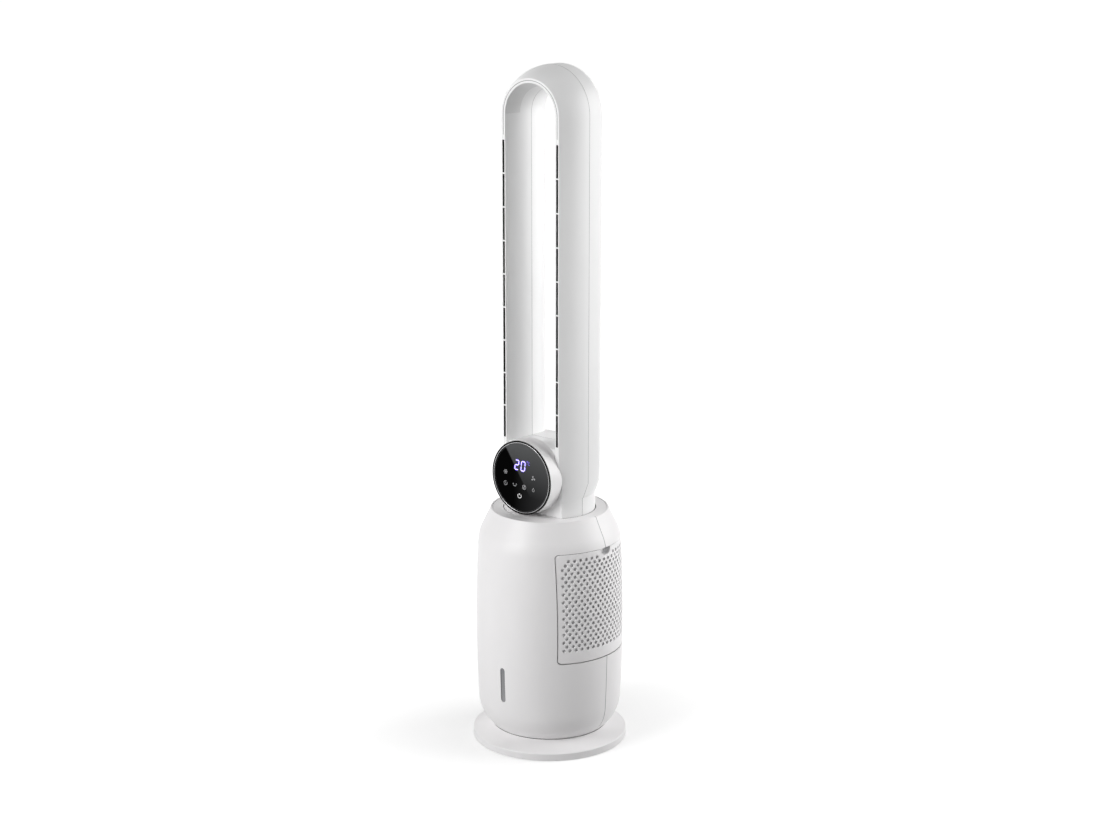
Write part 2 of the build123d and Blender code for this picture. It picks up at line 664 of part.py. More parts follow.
def gear_outline(teeth):
    """Points of one tooth's two flanks, as radius and angle from the tooth's middle."""
    pitch_r = MODULE * teeth / 2
    pressure = math.radians(PRESSURE_DEG)
    base_r = pitch_r * math.cos(pressure)
    tip_r, root_r = pitch_r + ADDENDUM, pitch_r - DEDENDUM
    half = (math.pi * MODULE / 2 - BACKLASH / 2) / 2 / pitch_r
    start = max(base_r, root_r)
    flank = []
    for radius in (start, tip_r):
        roll = math.acos(min(1.0, base_r / radius))
        flank.append((radius, half + involute(pressure) - involute(roll)))
    if start > root_r:
        flank.insert(0, (root_r, flank[0][1]))
    left = [(r, -a) for r, a in flank]
    right = [(r, a) for r, a in reversed(flank)]
    return left + right


def gear_points(teeth, count, middle_deg):
    """The points of a run of teeth, the middle one (or gap) at the given angle."""
    pitch = 2 * math.pi / teeth
    points = []
    for tooth in range(count):
        centre = math.radians(middle_deg) + (tooth - (count - 1) / 2) * pitch
        for radius, angle in gear_outline(teeth):
            points.append((radius * math.cos(centre + angle), radius * math.sin(centre + angle)))
    return points


def swing_centre():
    return Pos(0, MODULE * (RACK_TEETH + PINION_TEETH) / 2, 0)


def make_swing_rack():
    """The toothed sector under the turntable, centred on the pinion at rest."""
    top = RING_TOP_Z - TURNTABLE_SINK - TURNTABLE_T
    teeth = gear_points(RACK_TEETH, RACK_CUT_TEETH, 90)
    inner_r = SKIRT_R + SCREW_CLEAR
    a0, a1 = [math.atan2(p[1], p[0]) for p in (teeth[0], teeth[-1])]
    mid = (0, inner_r)
    start = (inner_r * math.cos(a1), inner_r * math.sin(a1))
    end = (inner_r * math.cos(a0), inner_r * math.sin(a0))
    back = [Line(teeth[-1], start), ThreePointArc(start, mid, end), Line(end, teeth[0])]
    return Pos(0, 0, top - RACK_T) * extrude(make_face(Polyline(*teeth).edges() + back), RACK_T)


def make_pinion():
    """The motor's pinion with its shaft, turned so that a gap meets the sector's middle tooth."""
    teeth = gear_points(PINION_TEETH, PINION_TEETH, 90)
    rack_top = RING_TOP_Z - TURNTABLE_SINK - TURNTABLE_T
    z0 = rack_top - (RACK_T + PINION_T) / 2
    wheel = Pos(0, 0, z0) * extrude(make_face(Polyline(*teeth, close=True)), PINION_T)
    stub = disc(SWING_SHAFT_R, DECK_Z + DECK_T + SWING_MOTOR_H - SWING_SHAFT_DEPTH, z0 + PINION_T / 2)
    return swing_centre() * (wheel + stub)


def make_swing_motor():
    """The small stepper on the upper deck, with its ears and output bore."""
    z0 = DECK_Z + DECK_T
    can = disc(SWING_MOTOR_R, z0, z0 + SWING_MOTOR_H)
    ears = Pos(0, 0, z0 + EAR_LIFT) * extrude(SlotOverall(EAR_SPAN, EAR_W), EAR_T)
    bore = disc(SWING_SHAFT_R + SHAFT_FIT, z0 + SWING_MOTOR_H - SWING_SHAFT_DEPTH - RUN_GAP, BIG)
    return swing_centre() * (can + ears - bore)


def make_turntable():
    """The disc that carries the tower, with a bearing skirt and an air tube through the deck."""
    top = RING_TOP_Z - TURNTABLE_SINK
    plate = tube(NECK_R, NECK_R - DUCT_TUBE_R + TUBE_T, top - TURNTABLE_T, top)
    race = DECK_Z + DECK_T + SLIDE_RING_T + RUN_GAP
    skirt = tube(SKIRT_R, SKIRT_T, race, top - TURNTABLE_T)
    air = tube(DUCT_TUBE_R, TUBE_T, DECK_Z - RUN_GAP - RETAINER_T, top)
    return plate + skirt + air


def make_slide_ring():
    z0 = DECK_Z + DECK_T
    return tube(SKIRT_R, SKIRT_T + 4, z0, z0 + SLIDE_RING_T)


def make_retainer():
    """The ring pressed on the air tube under the deck, which keeps the tower from lifting."""
    z1 = DECK_Z - RUN_GAP
    bore = DUCT_TUBE_R + SHAFT_FIT
    outer = DUCT_R - DUCT_WALL - RETAINER_GAP
    return tube(outer, outer - bore, z1 - RETAINER_T, z1)


# ---------------------------------------------------------------- loop


def bulge_circle(wall_x, tangent_y, lip_x):
    """The circle of a leg's bulged side, parallel to Y at tangent_y: centre, radius and outward sign."""
    dx, dy = wall_x - lip_x, tangent_y - LIP_Y
    radius = (dx * dx + dy * dy) / (2 * abs(dx))
    outwards = 1 if dx > 0 else -1
    return (wall_x - outwards * radius, tangent_y), radius, outwards


def bulge(wall_x, tangent_y, lip_x, inset):
    """A side of a leg from where it runs parallel to Y forward to the lip, as an arc."""
    centre, radius, outwards = bulge_circle(wall_x, tangent_y, lip_x)
    lip_y = LIP_Y + inset
    reach = math.sqrt((radius - inset) ** 2 - (lip_y - tangent_y) ** 2)
    lip = (centre[0] + outwards * reach, lip_y)
    return arc_about(centre, (wall_x - outwards * inset, tangent_y), lip), lip


def facet_cut(inset):
    """What a flat facet takes off the inner bulge between the lip and FACET_Y."""
    centre, radius, _ = bulge_circle(LEG_IN, IN_TANGENT_Y, LIP_IN)
    lip = bulge(LEG_IN, IN_TANGENT_Y, LIP_IN, inset)[1]
    crease_x = centre[0] - math.sqrt((radius - inset) ** 2 - (FACET_Y - IN_TANGENT_Y) ** 2)
    return make_face(Polyline(lip, (crease_x, FACET_Y), (0, FACET_Y), (0, lip[1]), close=True))


def leg_face(inset=0.0):
    """The right leg's section: a flat lip, two bulged sides and a round back."""
    inner_back_r = LEG_OUT - LEG_IN - BACK_OUT_R
    out_corner = (LEG_OUT - BACK_OUT_R, BACK_Y - BACK_OUT_R)
    in_corner = (LEG_IN + inner_back_r, BACK_Y - inner_back_r)
    out_x, in_x, back = LEG_OUT - inset, LEG_IN + inset, (LEG_OUT - BACK_OUT_R, BACK_Y - inset)
    out_side, out_lip = bulge(LEG_OUT, OUT_TANGENT_Y, LIP_OUT, inset)
    in_side, in_lip = bulge(LEG_IN, IN_TANGENT_Y, LIP_IN, inset)
    return make_face(Wire([
        Line(in_lip, out_lip),
        out_side,
        Line((out_x, OUT_TANGENT_Y), (out_x, out_corner[1])),
        arc_about(out_corner, (out_x, out_corner[1]), back),
        arc_about(in_corner, back, (in_x, in_corner[1])),
        Line((in_x, in_corner[1]), (in_x, IN_TANGENT_Y)),
        in_side,
    ]))


def block_face(inset=0.0):
    """The section of the block that joins both legs above the neck."""
    corner = (LEG_OUT - BACK_OUT_R, BACK_Y - BACK_OUT_R)
    out_x, back_y = LEG_OUT - inset, BACK_Y - inset
    side, lip = bulge(LEG_OUT, OUT_TANGENT_Y, LIP_OUT, inset)
    half = make_face(Wire([
        Line((0, lip[1]), lip),
        side,
        Line((out_x, OUT_TANGENT_Y), (out_x, corner[1])),
        arc_about(corner, (out_x, corner[1]), (corner[0], back_y)),
        Line((corner[0], back_y), (0, back_y)),
        Line((0, back_y), (0, lip[1])),
    ]))
    half -= Pos(0, NECK_FLAT_Y + inset - BIG / 2) * Rectangle(BIG, BIG)
    return half


def neck_solid(inset=0.0):
    """The round neck with its domed shoulder and the flat behind the display."""
    neck_r, top = NECK_R - inset, NECK_DOME_Z - inset
    shoulder = (NECK_SHOULDER_R - inset, NECK_SHOULDER_Z)
    dome = (NECK_DOME_R, top)
    bottom = RING_TOP_Z - TURNTABLE_SINK
    neck = turned(
        Line((0, bottom), (neck_r, bottom)),
        Line((neck_r, bottom), (neck_r, NECK_TOP_Z)),
        Line((neck_r, NECK_TOP_Z), shoulder),
        TangentArc(shoulder, dome, tangent=(0, 1)),
        Line(dome, (0, top)),
        Line((0, top), (0, bottom)),
    )
    return neck - Pos(0, NECK_FLAT_Y + inset - BIG / 2, 0) * Box(BIG, BIG, 4 * BIG)


def over_arch(face):
    """A section turned from the right leg over to the left one."""
    return revolve(Pos(0, 0, SPRING_Z) * face, Axis((0, 0, SPRING_Z), (0, -1, 0)), HALF_TURN)


def loop_solid(inset=0.0):
    """Legs, arch, joining block and neck as one body, its wall moved in by an inset."""
    leg_z0 = SADDLE_Z - 4 * inset if inset else NECK_SHOULDER_Z
    leg = Pos(0, 0, leg_z0) * extrude(leg_face(inset), SPRING_Z - leg_z0)
    arch = over_arch(leg_face(inset) - facet_cut(inset))
    flare = turned(
        Line((0, 0), (NECK_R - 0.1 - inset, 0)),
        Line((NECK_R - 0.1 - inset, 0), (NECK_R - 0.1 - inset, NECK_TOP_Z)),
        TangentArc((FLARE_R - inset, FLARE_Z), (NECK_R - 0.1 - inset, NECK_TOP_Z), tangent=(0, -1)),
        Line((FLARE_R - inset, FLARE_Z), (FLARE_R - inset, SADDLE_Z - inset)),
        Line((FLARE_R - inset, SADDLE_Z - inset), (0, SADDLE_Z - inset)),
        Line((0, SADDLE_Z - inset), (0, 0)),
    )
    bottom = RING_TOP_Z - TURNTABLE_SINK
    half_block = Pos(0, 0, bottom) * extrude(block_face(inset), SADDLE_Z - bottom)
    block = (half_block + mirror(half_block, Plane.YZ)) & flare
    return neck_solid(inset) + block + leg + mirror(leg, Plane.YZ) + arch


def slot_cutters():
    """The long row of air slots in the lip of each leg."""
    depth = 4 * LOOP_WALL
    cutters = []
    for number in range(SLOTS):
        z = SLOT_TOP_Z - number * SLOT_PITCH - SLOT_LEN / 2
        cutters += both_sides(Pos(SLOT_X, LIP_Y, z) * Box(SLOT_W, depth, SLOT_LEN))
    return cutters


def lip_groove():
    """The fine line in the lip that carries each row of slots on over the arch."""
    face = Pos(SLOT_X, LIP_Y) * Rectangle(GROOVE_W, 2 * GROOVE_DEPTH)
    z0 = SLOT_TOP_Z + GROOVE_START
    leg = Pos(0, 0, z0) * extrude(face, SPRING_Z - z0)
    return both_sides(leg) + [over_arch(face)]


def front_room(shift):
    """All space in front of the loop's parting face, which steps forward at the neck."""
    neck_y, loop_y = NECK_SEAM_Y - shift, LOOP_SEAM_Y - shift
    path = Polyline(
        (-BIG, 0), (neck_y, 0), (neck_y, SEAM_LOW_Z), (loop_y, SEAM_HIGH_Z),
        (loop_y, 3 * BIG), (-BIG, 3 * BIG), close=True,
    )
    return extrude(Plane.YZ * make_face(path), BIG, both=True)


def make_loop_shells():
    """Front and rear half of the hollow loop, which meet along the sides."""
    outside, inside = loop_solid(), loop_solid(LOOP_WALL)
    front = (outside & front_room(PARTING_GAP)) - inside
    front -= bar_y(DRUM_R + SEAT, 0, DRUM_Z, DRUM_FRONT_Y, NECK_FLAT_Y)
    front -= slot_cutters()
    front -= lip_groove()
    return front, (outside - front_room(0)) - inside


def make_nozzle_strips():
    """The dark liners behind the slots, one channel in each leg."""
    z1 = SLOT_TOP_Z + 3
    z0 = SLOT_TOP_Z - SLOTS * SLOT_PITCH - 1
    y0 = LIP_Y + LOOP_WALL + 2 * SEAT
    width = SLOT_W + 2 * STRIP_WALL
    channel = Pos(SLOT_X, y0 + STRIP_DEPTH / 2, (z0 + z1) / 2) * Box(width, STRIP_DEPTH, z1 - z0)
    groove = Pos(SLOT_X, y0 + STRIP_DEPTH / 2 - STRIP_WALL, (z0 + z1) / 2) * Box(SLOT_W, STRIP_DEPTH, z1 - z0 - 2)
    return both_sides(channel - groove)


# ---------------------------------------------------------------- display


def make_drum():
    """The display's cup, on the flat of the neck, with bosses for the board."""
    cup = bar_y(DRUM_R, 0, DRUM_Z, DRUM_FRONT_Y, NECK_FLAT_Y)
    cup -= bar_y(DRUM_R - DRUM_WALL, 0, DRUM_Z, DRUM_FRONT_Y, NECK_FLAT_Y - DRUM_WALL)
    for x, z in display_boss_places():
        cup += bar_y(BOSS_R, x, z, board_y() + BOARD_T, NECK_FLAT_Y - DRUM_WALL)
    return cup


def board_y():
    return DRUM_FRONT_Y + GLASS_INSET + GLASS_T + 7.0


def display_boss_places():
    reach = BOARD_R - 8
    return [(reach * math.cos(math.radians(a)), DRUM_Z + reach * math.sin(math.radians(a))) for a in (45, 135, 225, 315)]


def make_bezel():
    """The bright ring round the glass, seated in the drum's rim."""
    outer, depth = DRUM_R - DRUM_WALL - SHAFT_FIT, 4.0
    ring = bar_y(outer, 0, DRUM_Z, DRUM_FRONT_Y - 1.2, DRUM_FRONT_Y + depth)
    ring += bar_y(DRUM_R - 0.4, 0, DRUM_Z, DRUM_FRONT_Y - 1.2, DRUM_FRONT_Y)
    ring -= bar_y(outer - BEZEL_W + 1.4, 0, DRUM_Z, -BIG, BIG)
    return ring


def make_glass():
    r = DRUM_R - DRUM_WALL - SHAFT_FIT - BEZEL_W + 1.4 - SHAFT_FIT
    return bar_y(r, 0, DRUM_Z, DRUM_FRONT_Y - 0.8, DRUM_FRONT_Y - 0.8 + GLASS_T)


def make_display_board():
    board = bar_y(BOARD_R, 0, DRUM_Z, board_y(), board_y() + BOARD_T)
    return board


def make_digit_module():
    """The block of light segments between board and glass."""
    y0 = DRUM_FRONT_Y - 0.8 + GLASS_T
    return Pos(0, (y0 + board_y()) / 2, DRUM_Z + DIGIT_Z) * Box(DIGIT_W, board_y() - y0, DIGIT_H)


# ---------------------------------------------------------------- electronics


def make_main_board():
    board = Pos(0, PCB_Y + PCB_T / 2, PCB_Z) * Box(PCB_W, PCB_T, PCB_H)
    return board


def make_board_parts():
    """Transformer, capacitor and terminal block on the inner face of the main board."""
    transformer = Pos(-22, PCB_Y - 10, PCB_Z - 14) * Box(28, 20, 24)
    capacitor = bar_y(8, 16, PCB_Z - 16, PCB_Y - 22, PCB_Y)
    terminals = Pos(10, PCB_Y - 5, PCB_Z + 24) * Box(44, 10, 9)
    return [transformer, capacitor, terminals]


def make_power_inlet():
    """The two-pin inlet above the tank, a cup with a flange inside the wall."""
    front_y = BELLY_R - 1.6
    cup = Pos(0, front_y - SOCKET_D / 2, SOCKET_Z) * Box(SOCKET_W - GAP, SOCKET_D, SOCKET_H - GAP)
    cup &= housing_solid(SEAT)
    cup -= Pos(0, front_y, SOCKET_Z) * Box(SOCKET_W - 5, 2 * SOCKET_D - 8, SOCKET_H - 5)
    for x in (-4, 4):
        cup += bar_y(1.2, x, SOCKET_Z, front_y - SOCKET_D + 2, front_y - 6)
    return cup


# ---------------------------------------------------------------- all parts


def save(name, shape):
    solids = shape if isinstance(shape, list) else [shape]
    solids = [solid for part in solids for solid in part.solids()]
    export_step(Compound(solids), f"parts/{name}.step")


def main():
    os.makedirs("parts", exist_ok=True)
    front_shell, rear_shell = make_shells()
    loop_front, loop_rear = make_loop_shells()
    cover, side_frame, dust_filter, pad = make_cover(), make_side_frame(), make_filter(), make_pad()
    clips = make_pad_clips()
    parts = {
        "base_disc": make_base_disc(),
        "rubber_feet": make_feet(),
        "ballast_ring": make_ballast(),
        "base_screws": make_base_screws(),
        "bottom_tray": make_tray(),
        "front_shell": front_shell,
        "rear_shell": rear_shell,
        "level_window": make_level_window(),
        "top_ring": make_top_ring(),
        "mid_deck": make_mid_deck(),
        "upper_deck": make_upper_deck(),
        "side_frames": both_sides(side_frame),
        "water_hose": make_hose(),
        "drip_troughs": make_troughs(),
        "blower_duct": make_duct(),
        "duct_screws": make_duct_screws(),
        "blower_motor": make_motor(),
        "motor_cap": make_motor_cap(),
        "swing_motor": make_swing_motor(),
        "slide_ring": make_slide_ring(),
        "main_board": make_main_board(),
        "board_parts": make_board_parts(),
        "power_inlet": make_power_inlet(),
        "motor_shaft": make_shaft(),
        "impeller": make_impeller(),
        "impeller_nut": make_nut(),
        "swing_pinion": make_pinion(),
        "turntable": make_turntable(),
        "swing_rack": make_swing_rack(),
        "retainer_ring": make_retainer(),
        "loop_front_shell": loop_front,
        "loop_rear_shell": loop_rear,
        "nozzle_strips": make_nozzle_strips(),
        "display_drum": make_drum(),
        "display_bezel": make_bezel(),
        "display_glass": make_glass(),
        "display_board": make_display_board(),
        "digit_module": make_digit_module(),
        "right_cover": cover,
        "left_cover": mirror(cover, Plane.YZ),
        "right_filter": dust_filter,
        "left_filter": mirror(dust_filter, Plane.YZ),
        "right_pad": pad,
        "left_pad": mirror(pad, Plane.YZ),
        "right_pad_clips": clips,
        "left_pad_clips": [mirror(clip, Plane.YZ) for clip in clips],
        "water_tank": make_tank(),
        "tank_front": make_tank_front(),
        "water_pump": make_pump(),
    }
    for name, shape in parts.items():
        save(name, shape)


main()
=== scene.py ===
"""Visual model of a tall bladeless tower fan with an air cooler in its foot.

Sizes are written in millimetres, and meshes and materials hold metres. The front faces -Y.
"""
import json
import math

import bmesh
import bpy
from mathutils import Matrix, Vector
from mathutils.geometry import delaunay_2d_cdt


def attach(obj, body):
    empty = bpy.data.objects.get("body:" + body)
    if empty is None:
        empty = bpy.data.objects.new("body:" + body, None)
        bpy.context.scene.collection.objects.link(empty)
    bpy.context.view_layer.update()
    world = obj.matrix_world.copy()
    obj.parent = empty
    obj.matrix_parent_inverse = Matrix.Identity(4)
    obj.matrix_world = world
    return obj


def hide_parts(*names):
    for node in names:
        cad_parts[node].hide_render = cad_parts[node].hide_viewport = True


MM = 0.001
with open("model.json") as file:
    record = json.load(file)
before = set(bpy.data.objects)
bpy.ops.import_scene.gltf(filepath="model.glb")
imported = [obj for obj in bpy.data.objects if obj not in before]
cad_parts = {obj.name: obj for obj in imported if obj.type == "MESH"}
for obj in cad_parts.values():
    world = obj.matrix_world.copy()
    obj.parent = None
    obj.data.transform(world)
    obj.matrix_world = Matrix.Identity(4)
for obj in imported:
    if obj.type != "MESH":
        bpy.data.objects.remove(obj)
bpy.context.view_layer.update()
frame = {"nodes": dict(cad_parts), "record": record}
nodes = frame["nodes"]


def mm(*values):
    """These millimetres in metres."""
    return tuple(value * MM for value in values)


# ---------------------------------------------------------------- sizes, as in the solids

# The barrel: (radius, z) of three points on its belly's arc, and of the shoulder's upper end
BELLY = ((115.6, 70.0), (118.7, 205.0), (114.9, 334.0))
CONE = (109.8, 355.0)
WALL = 2.6

# The side covers. A gap is how far the cover's edge stands back from the solid's edge.
COVER_HALF_W, COVER_Z0, COVER_Z1 = 83.0, 160.5, 340.0
COVER_CORNER, COVER_BEVEL, NOTCH_R = 5.0, 0.8, 11.5
SIDE_GAP, LOW_GAP, TOP_GAP = 1.3, 0.7, 0.15
CORNER_STEPS, NOTCH_STEPS, TOP_STEPS, SIDE_STEPS, LOW_STEPS = 6, 24, 18, 30, 42
NOTCH_CLEAR = 0.9 * COVER_BEVEL     # round the notch, a triangle's middle this close is open
FACING = 0.9                        # cosine from which a face takes the barrel's own normals

# The holes of a cover, in staggered rows: z upwards and s along the barrel's surface
HOLE_R, HOLE_CHAMFER, HOLE_SIDES = 2.75, 0.32, 14
HOLE_MOUTH_R = HOLE_R + HOLE_CHAMFER
HOLE_OPEN = 0.955 * HOLE_MOUTH_R    # a triangle whose middle is this close is open
HOLE_ROWS, HOLE_Z0, HOLE_PITCH_Z = 23, 183.0, 6.64
HOLE_COLS, HOLE_PITCH_S = 17, 10.25
HOLE_TO_NOTCH = 6.0                 # least distance of a hole's centre from the notch's edge
WELD = 1e-6                         # points of the flat cover closer than this are one

# The dust mesh behind a cover, cut out where the finger cup's tab passes
MESH_HALF_W, MESH_Z0, MESH_Z1 = 76.6, 167.0, 333.2
MESH_GAP, MESH_T, MESH_STEPS = 0.35, 0.8, 60
CUP_TAB_HALF_W, CUP_TAB_Z = 18.6, 325.4

# The display: the band's profile is (radius, y) points, and a bead is its radius from the axis,
# y, half thickness and number of sides
DRUM_Z, GLASS_Y = 449.0, -70.3
BAND = ((56.3, -69.9), (56.3, -65.6), (57.4, -65.6), (57.4, -69.45), (59.7, -69.55),
        (59.7, -70.4), (59.3, -70.8), (57.2, -70.8), (56.6, -70.35))
BRIGHT_BEAD, INNER_LINE = (56.5, -70.5, 0.4, 10), (54.3, -70.28, 0.16, 6)
RING_STEPS = 128
SHARP = math.radians(35)            # an edge at a greater angle stays sharp
PRINT_T = 0.12                      # thickness of the lit print

# The air slots in the lip, and the liners' flanges before the lip's face
LIP_Y, SLOT_X, SLOT_W = -47.0, 53.4, 3.0
SLOTS, SLOT_PITCH, SLOT_LEN, SLOT_TOP_Z = 9, 52.6, 50.4, 974.0
SLOT_PLAY, LINER_T, LINER_DEPTH = 0.03, 0.25, 2.5
FLANGE, FLANGE_FRONT, FLANGE_BACK = 0.5, -0.08, -0.01

# What materials shade by place, in metres. The loop's seam moves back from the first y to the
# second between its two heights, and every other pair is where a soft edge begins and ends.
SHELL_SEAM_HALF_W, LOOP_SEAM_HALF_W = mm(0.36, 0.26)
SEAM_FADE = 1.6                     # a seam's shade ends at this many half widths
LOOP_SEAM_Z, LOOP_SEAM_Y = mm(413.6, 437.0), mm(-7.15, 4.85)
SPRING_Z = 1014.0 * MM              # where the legs turn into the arch
GROOVE_SIDE, GROOVE_REAR, GROOVE_FOOT = mm(0.44, 0.50), mm(-46.4, -46.2), mm(982.0, 982.1)
FACET_REAR, FACET_FOOT, FACET_TOP = mm(-19.6, -19.5), mm(1014.0, 1014.1), mm(49.8, 49.9)
WINDOW_RISE, WINDOW_SIDE = mm(85.0, 147.0), mm(3.0, 4.0)
GLARE_ACROSS, GLARE_UP = 0.833, 0.553       # direction across the glare's slanting edge
GLARE_EDGE, GLARE_RISE, GLASS_SIDE = mm(-2.1, 0.2), mm(-30.0, 50.0), mm(-16.0, 50.0)
CREVICE_REACH, CREVICE_SAMPLES = 3.0 * MM, 6
CREVICE_OPEN = (0.12, 0.5)          # how open a place is, 0 to 1, at full shade and at none
WEAVE_PITCH = 1.2 * MM
NOISE_SPAN = (0.3, 0.7)             # nearly all of a noise's values lie between these
FLOW_SPAN = (0.35, 0.65)            # the same for the flow marks, for a little more contrast


# ---------------------------------------------------------------- materials


class Graph:
    """A material's node tree, with short calls for the few kinds of node that are used here."""

    MIX_COLOURS, MIX_RESULT = (6, 7), 2     # sockets of the Mix node when it mixes colours

    def __init__(self, name, colour, roughness, metallic=0.0, **sockets):
        self.material = bpy.data.materials.new(name)
        self.material.use_nodes = True
        self.tree = self.material.node_tree
        self.shader = self.tree.nodes["Principled BSDF"]
        self.set(self.shader, "Base Color", (*colour, 1.0))
        self.set(self.shader, "Roughness", roughness)
        self.set(self.shader, "Metallic", metallic)
        for socket, value in sockets.items():
            self.set(self.shader, socket.replace("_", " "), value)
        self.place = self.add("ShaderNodeTexCoord").outputs["Object"]

    @staticmethod
    def set(node, socket, value):
        node.inputs[socket].default_value = value

    def add(self, kind, **values):
        node = self.tree.nodes.new(kind)
        for key, value in values.items():
            setattr(node, key, value)
        return node

    def link(self, source, node, socket):
        self.tree.links.new(source, node.inputs[socket])

    def noise(self, scale, detail=3.0, stretch=(1.0, 1.0, 1.0)):
        """Noise whose scale is in features per metre."""
        mapping = self.add("ShaderNodeMapping")
        self.set(mapping, "Scale", stretch)
        self.link(self.place, mapping, "Vector")
        node = self.add("ShaderNodeTexNoise")
        self.set(node, "Scale", scale)
        self.set(node, "Detail", detail)
        self.link(mapping.outputs[0], node, "Vector")
        return node.outputs["Fac"]

    def ramp(self, source, from_lo, from_hi, to_lo, to_hi):
        node = self.add("ShaderNodeMapRange")
        self.set(node, "From Min", from_lo)
        self.set(node, "From Max", from_hi)
        self.set(node, "To Min", to_lo)
        self.set(node, "To Max", to_hi)
        self.link(source, node, "Value")
        return node.outputs[0]

    def rise(self, source, low, high):
        """0 up to the low value and 1 from the high one."""
        return self.ramp(source, low, high, 0.0, 1.0)

    def fall(self, source, low, high):
        """1 up to the low value and 0 from the high one."""
        return self.ramp(source, low, high, 1.0, 0.0)

    def mix(self, factor, first, second):
        """A blend of two colours, each given as numbers or as a socket."""
        node = self.add("ShaderNodeMix", data_type="RGBA")
        for index, value in zip(self.MIX_COLOURS, (first, second)):
            if isinstance(value, tuple):
                node.inputs[index].default_value = (*value, 1.0)
            else:
                self.link(value, node, index)
        self.link(factor, node, 0)
        return node.outputs[self.MIX_RESULT]

    def math(self, operation, first, second=None):
        node = self.add("ShaderNodeMath", operation=operation)
        for index, value in enumerate((first, second)):
            if isinstance(value, (int, float)):
                node.inputs[index].default_value = value
            elif value is not None:
                self.link(value, node, index)
        return node.outputs[0]

    def most(self, first, *others):
        """The greatest of several values."""
        for other in others:
            first = self.math("MAXIMUM", first, other)
        return first

    def axis(self, name):
        split = self.add("ShaderNodeSeparateXYZ")
        self.link(self.place, split, 0)
        return split.outputs[name]

    def colour(self, source):
        self.link(source, self.shader, "Base Color")

    def rough(self, source, low, high):
        """Roughness between two values, by a noise."""
        self.link(self.ramp(source, *NOISE_SPAN, low, high), self.shader, "Roughness")

    def bump(self, height, distance):
        """Relief in which a height of 1 stands this many metres out."""
        node = self.add("ShaderNodeBump")
        self.set(node, "Distance", distance)
        self.set(node, "Strength", 1.0)
        self.link(height, node, "Height")
        self.link(node.outputs[0], self.shader, "Normal")


# Greys of painted shade: deep in gaps, along the parting lines, in the lip's groove and on the
# arch's facet.
CREVICE_SHADE_GREY, SEAM_SHADE_GREY = (0.03, 0.03, 0.031), (0.20, 0.20, 0.205)
LOOP_SEAM_SHADE_GREY, GROOVE_SHADE_GREY, FACET_SHADE_GREY = (0.34, 0.34, 0.34), (0.30, 0.30, 0.30), (0.74, 0.74, 0.74)
WARM, WARM_LOW = (0.868, 0.857, 0.861), (0.838, 0.827, 0.832)
NEUTRAL, NEUTRAL_LOW = (0.862, 0.862, 0.862), (0.832, 0.832, 0.833)


def painted_crevice_shade(g, colour):
    """Painted shade: darkens what lies deep in a narrow gap, where shade falls."""
    node = g.add("ShaderNodeAmbientOcclusion", samples=CREVICE_SAMPLES)
    g.set(node, "Distance", CREVICE_REACH)
    # Painted shade: the grey grows where the occlusion node finds little open space.
    return g.mix(g.rise(node.outputs["AO"], *CREVICE_OPEN), CREVICE_SHADE_GREY, colour)


def seam_shade_line(g, colour, offset, half_width, grey):
    """Painted shade along the parting line of two mouldings, where the gap's shadow falls: a thin
    grey line where the offset is near 0.
    """
    away = g.math("ABSOLUTE", offset)
    return g.mix(g.rise(away, half_width, SEAM_FADE * half_width), grey, colour)


def shell_seam_shade(g, colour):
    """Painted shade along the line between the front and the rear half of the housing."""
    return seam_shade_line(g, colour, g.axis("Y"), SHELL_SEAM_HALF_W, SEAM_SHADE_GREY)


def loop_painted_shade(g, colour):
    """Painted shade along the loop's parting line, in the groove in its lip and on the recessed
    facet inside its arch.
    """
    x, y, z = (g.axis(name) for name in "XYZ")
    # Painted shade along the loop's parting gap.
    off_seam = g.math("SUBTRACT", y, g.ramp(z, *LOOP_SEAM_Z, *LOOP_SEAM_Y))
    colour = seam_shade_line(g, colour, off_seam, LOOP_SEAM_HALF_W, LOOP_SEAM_SHADE_GREY)
    up = g.math("MAXIMUM", g.math("SUBTRACT", z, SPRING_Z), 0.0)
    squares = g.math("ADD", g.math("MULTIPLY", x, x), g.math("MULTIPLY", up, up))
    radius = g.math("SQRT", squares)
    beside = g.math("ABSOLUTE", g.math("SUBTRACT", radius, SLOT_X * MM))
    off_groove = g.most(g.rise(beside, *GROOVE_SIDE), g.rise(y, *GROOVE_REAR),
                        g.fall(z, *GROOVE_FOOT))
    # Painted shade in the groove of the lip, over the arch.
    colour = g.mix(off_groove, GROOVE_SHADE_GREY, colour)
    # Painted shade on the recessed facet inside the arch.
    off_facet = g.most(g.rise(y, *FACET_REAR), g.fall(z, *FACET_FOOT), g.rise(radius, *FACET_TOP))
    return g.mix(off_facet, FACET_SHADE_GREY, colour)


def moulded(name, light, dark, roughness, grain, depth, marks=(), **sockets):
    """Injection moulded plastic: slight flow marks, uneven gloss and a fine grain.

    Each of the marks is a function that adds something to the colour."""
    g = Graph(name, light, roughness, **sockets)
    flow = g.noise(14.0, detail=4.0, stretch=(1.0, 1.0, 0.35))
    colour = g.mix(g.rise(flow, *FLOW_SPAN), light, dark)
    for mark in marks:
        colour = mark(g, colour)
    g.colour(colour)
    g.rough(g.noise(60.0, detail=5.0), roughness - 0.03, roughness + 0.04)
    g.bump(g.noise(grain, detail=2.0), depth)
    return g.material


def white_gloss(name, light, dark, *marks):
    """The white plastic outside, with painted shade deep in its gaps."""
    return moulded(name, light, dark, 0.42, 900.0, 0.000012, (*marks, painted_crevice_shade),
                   Coat_Weight=0.12, Coat_Roughness=0.42)


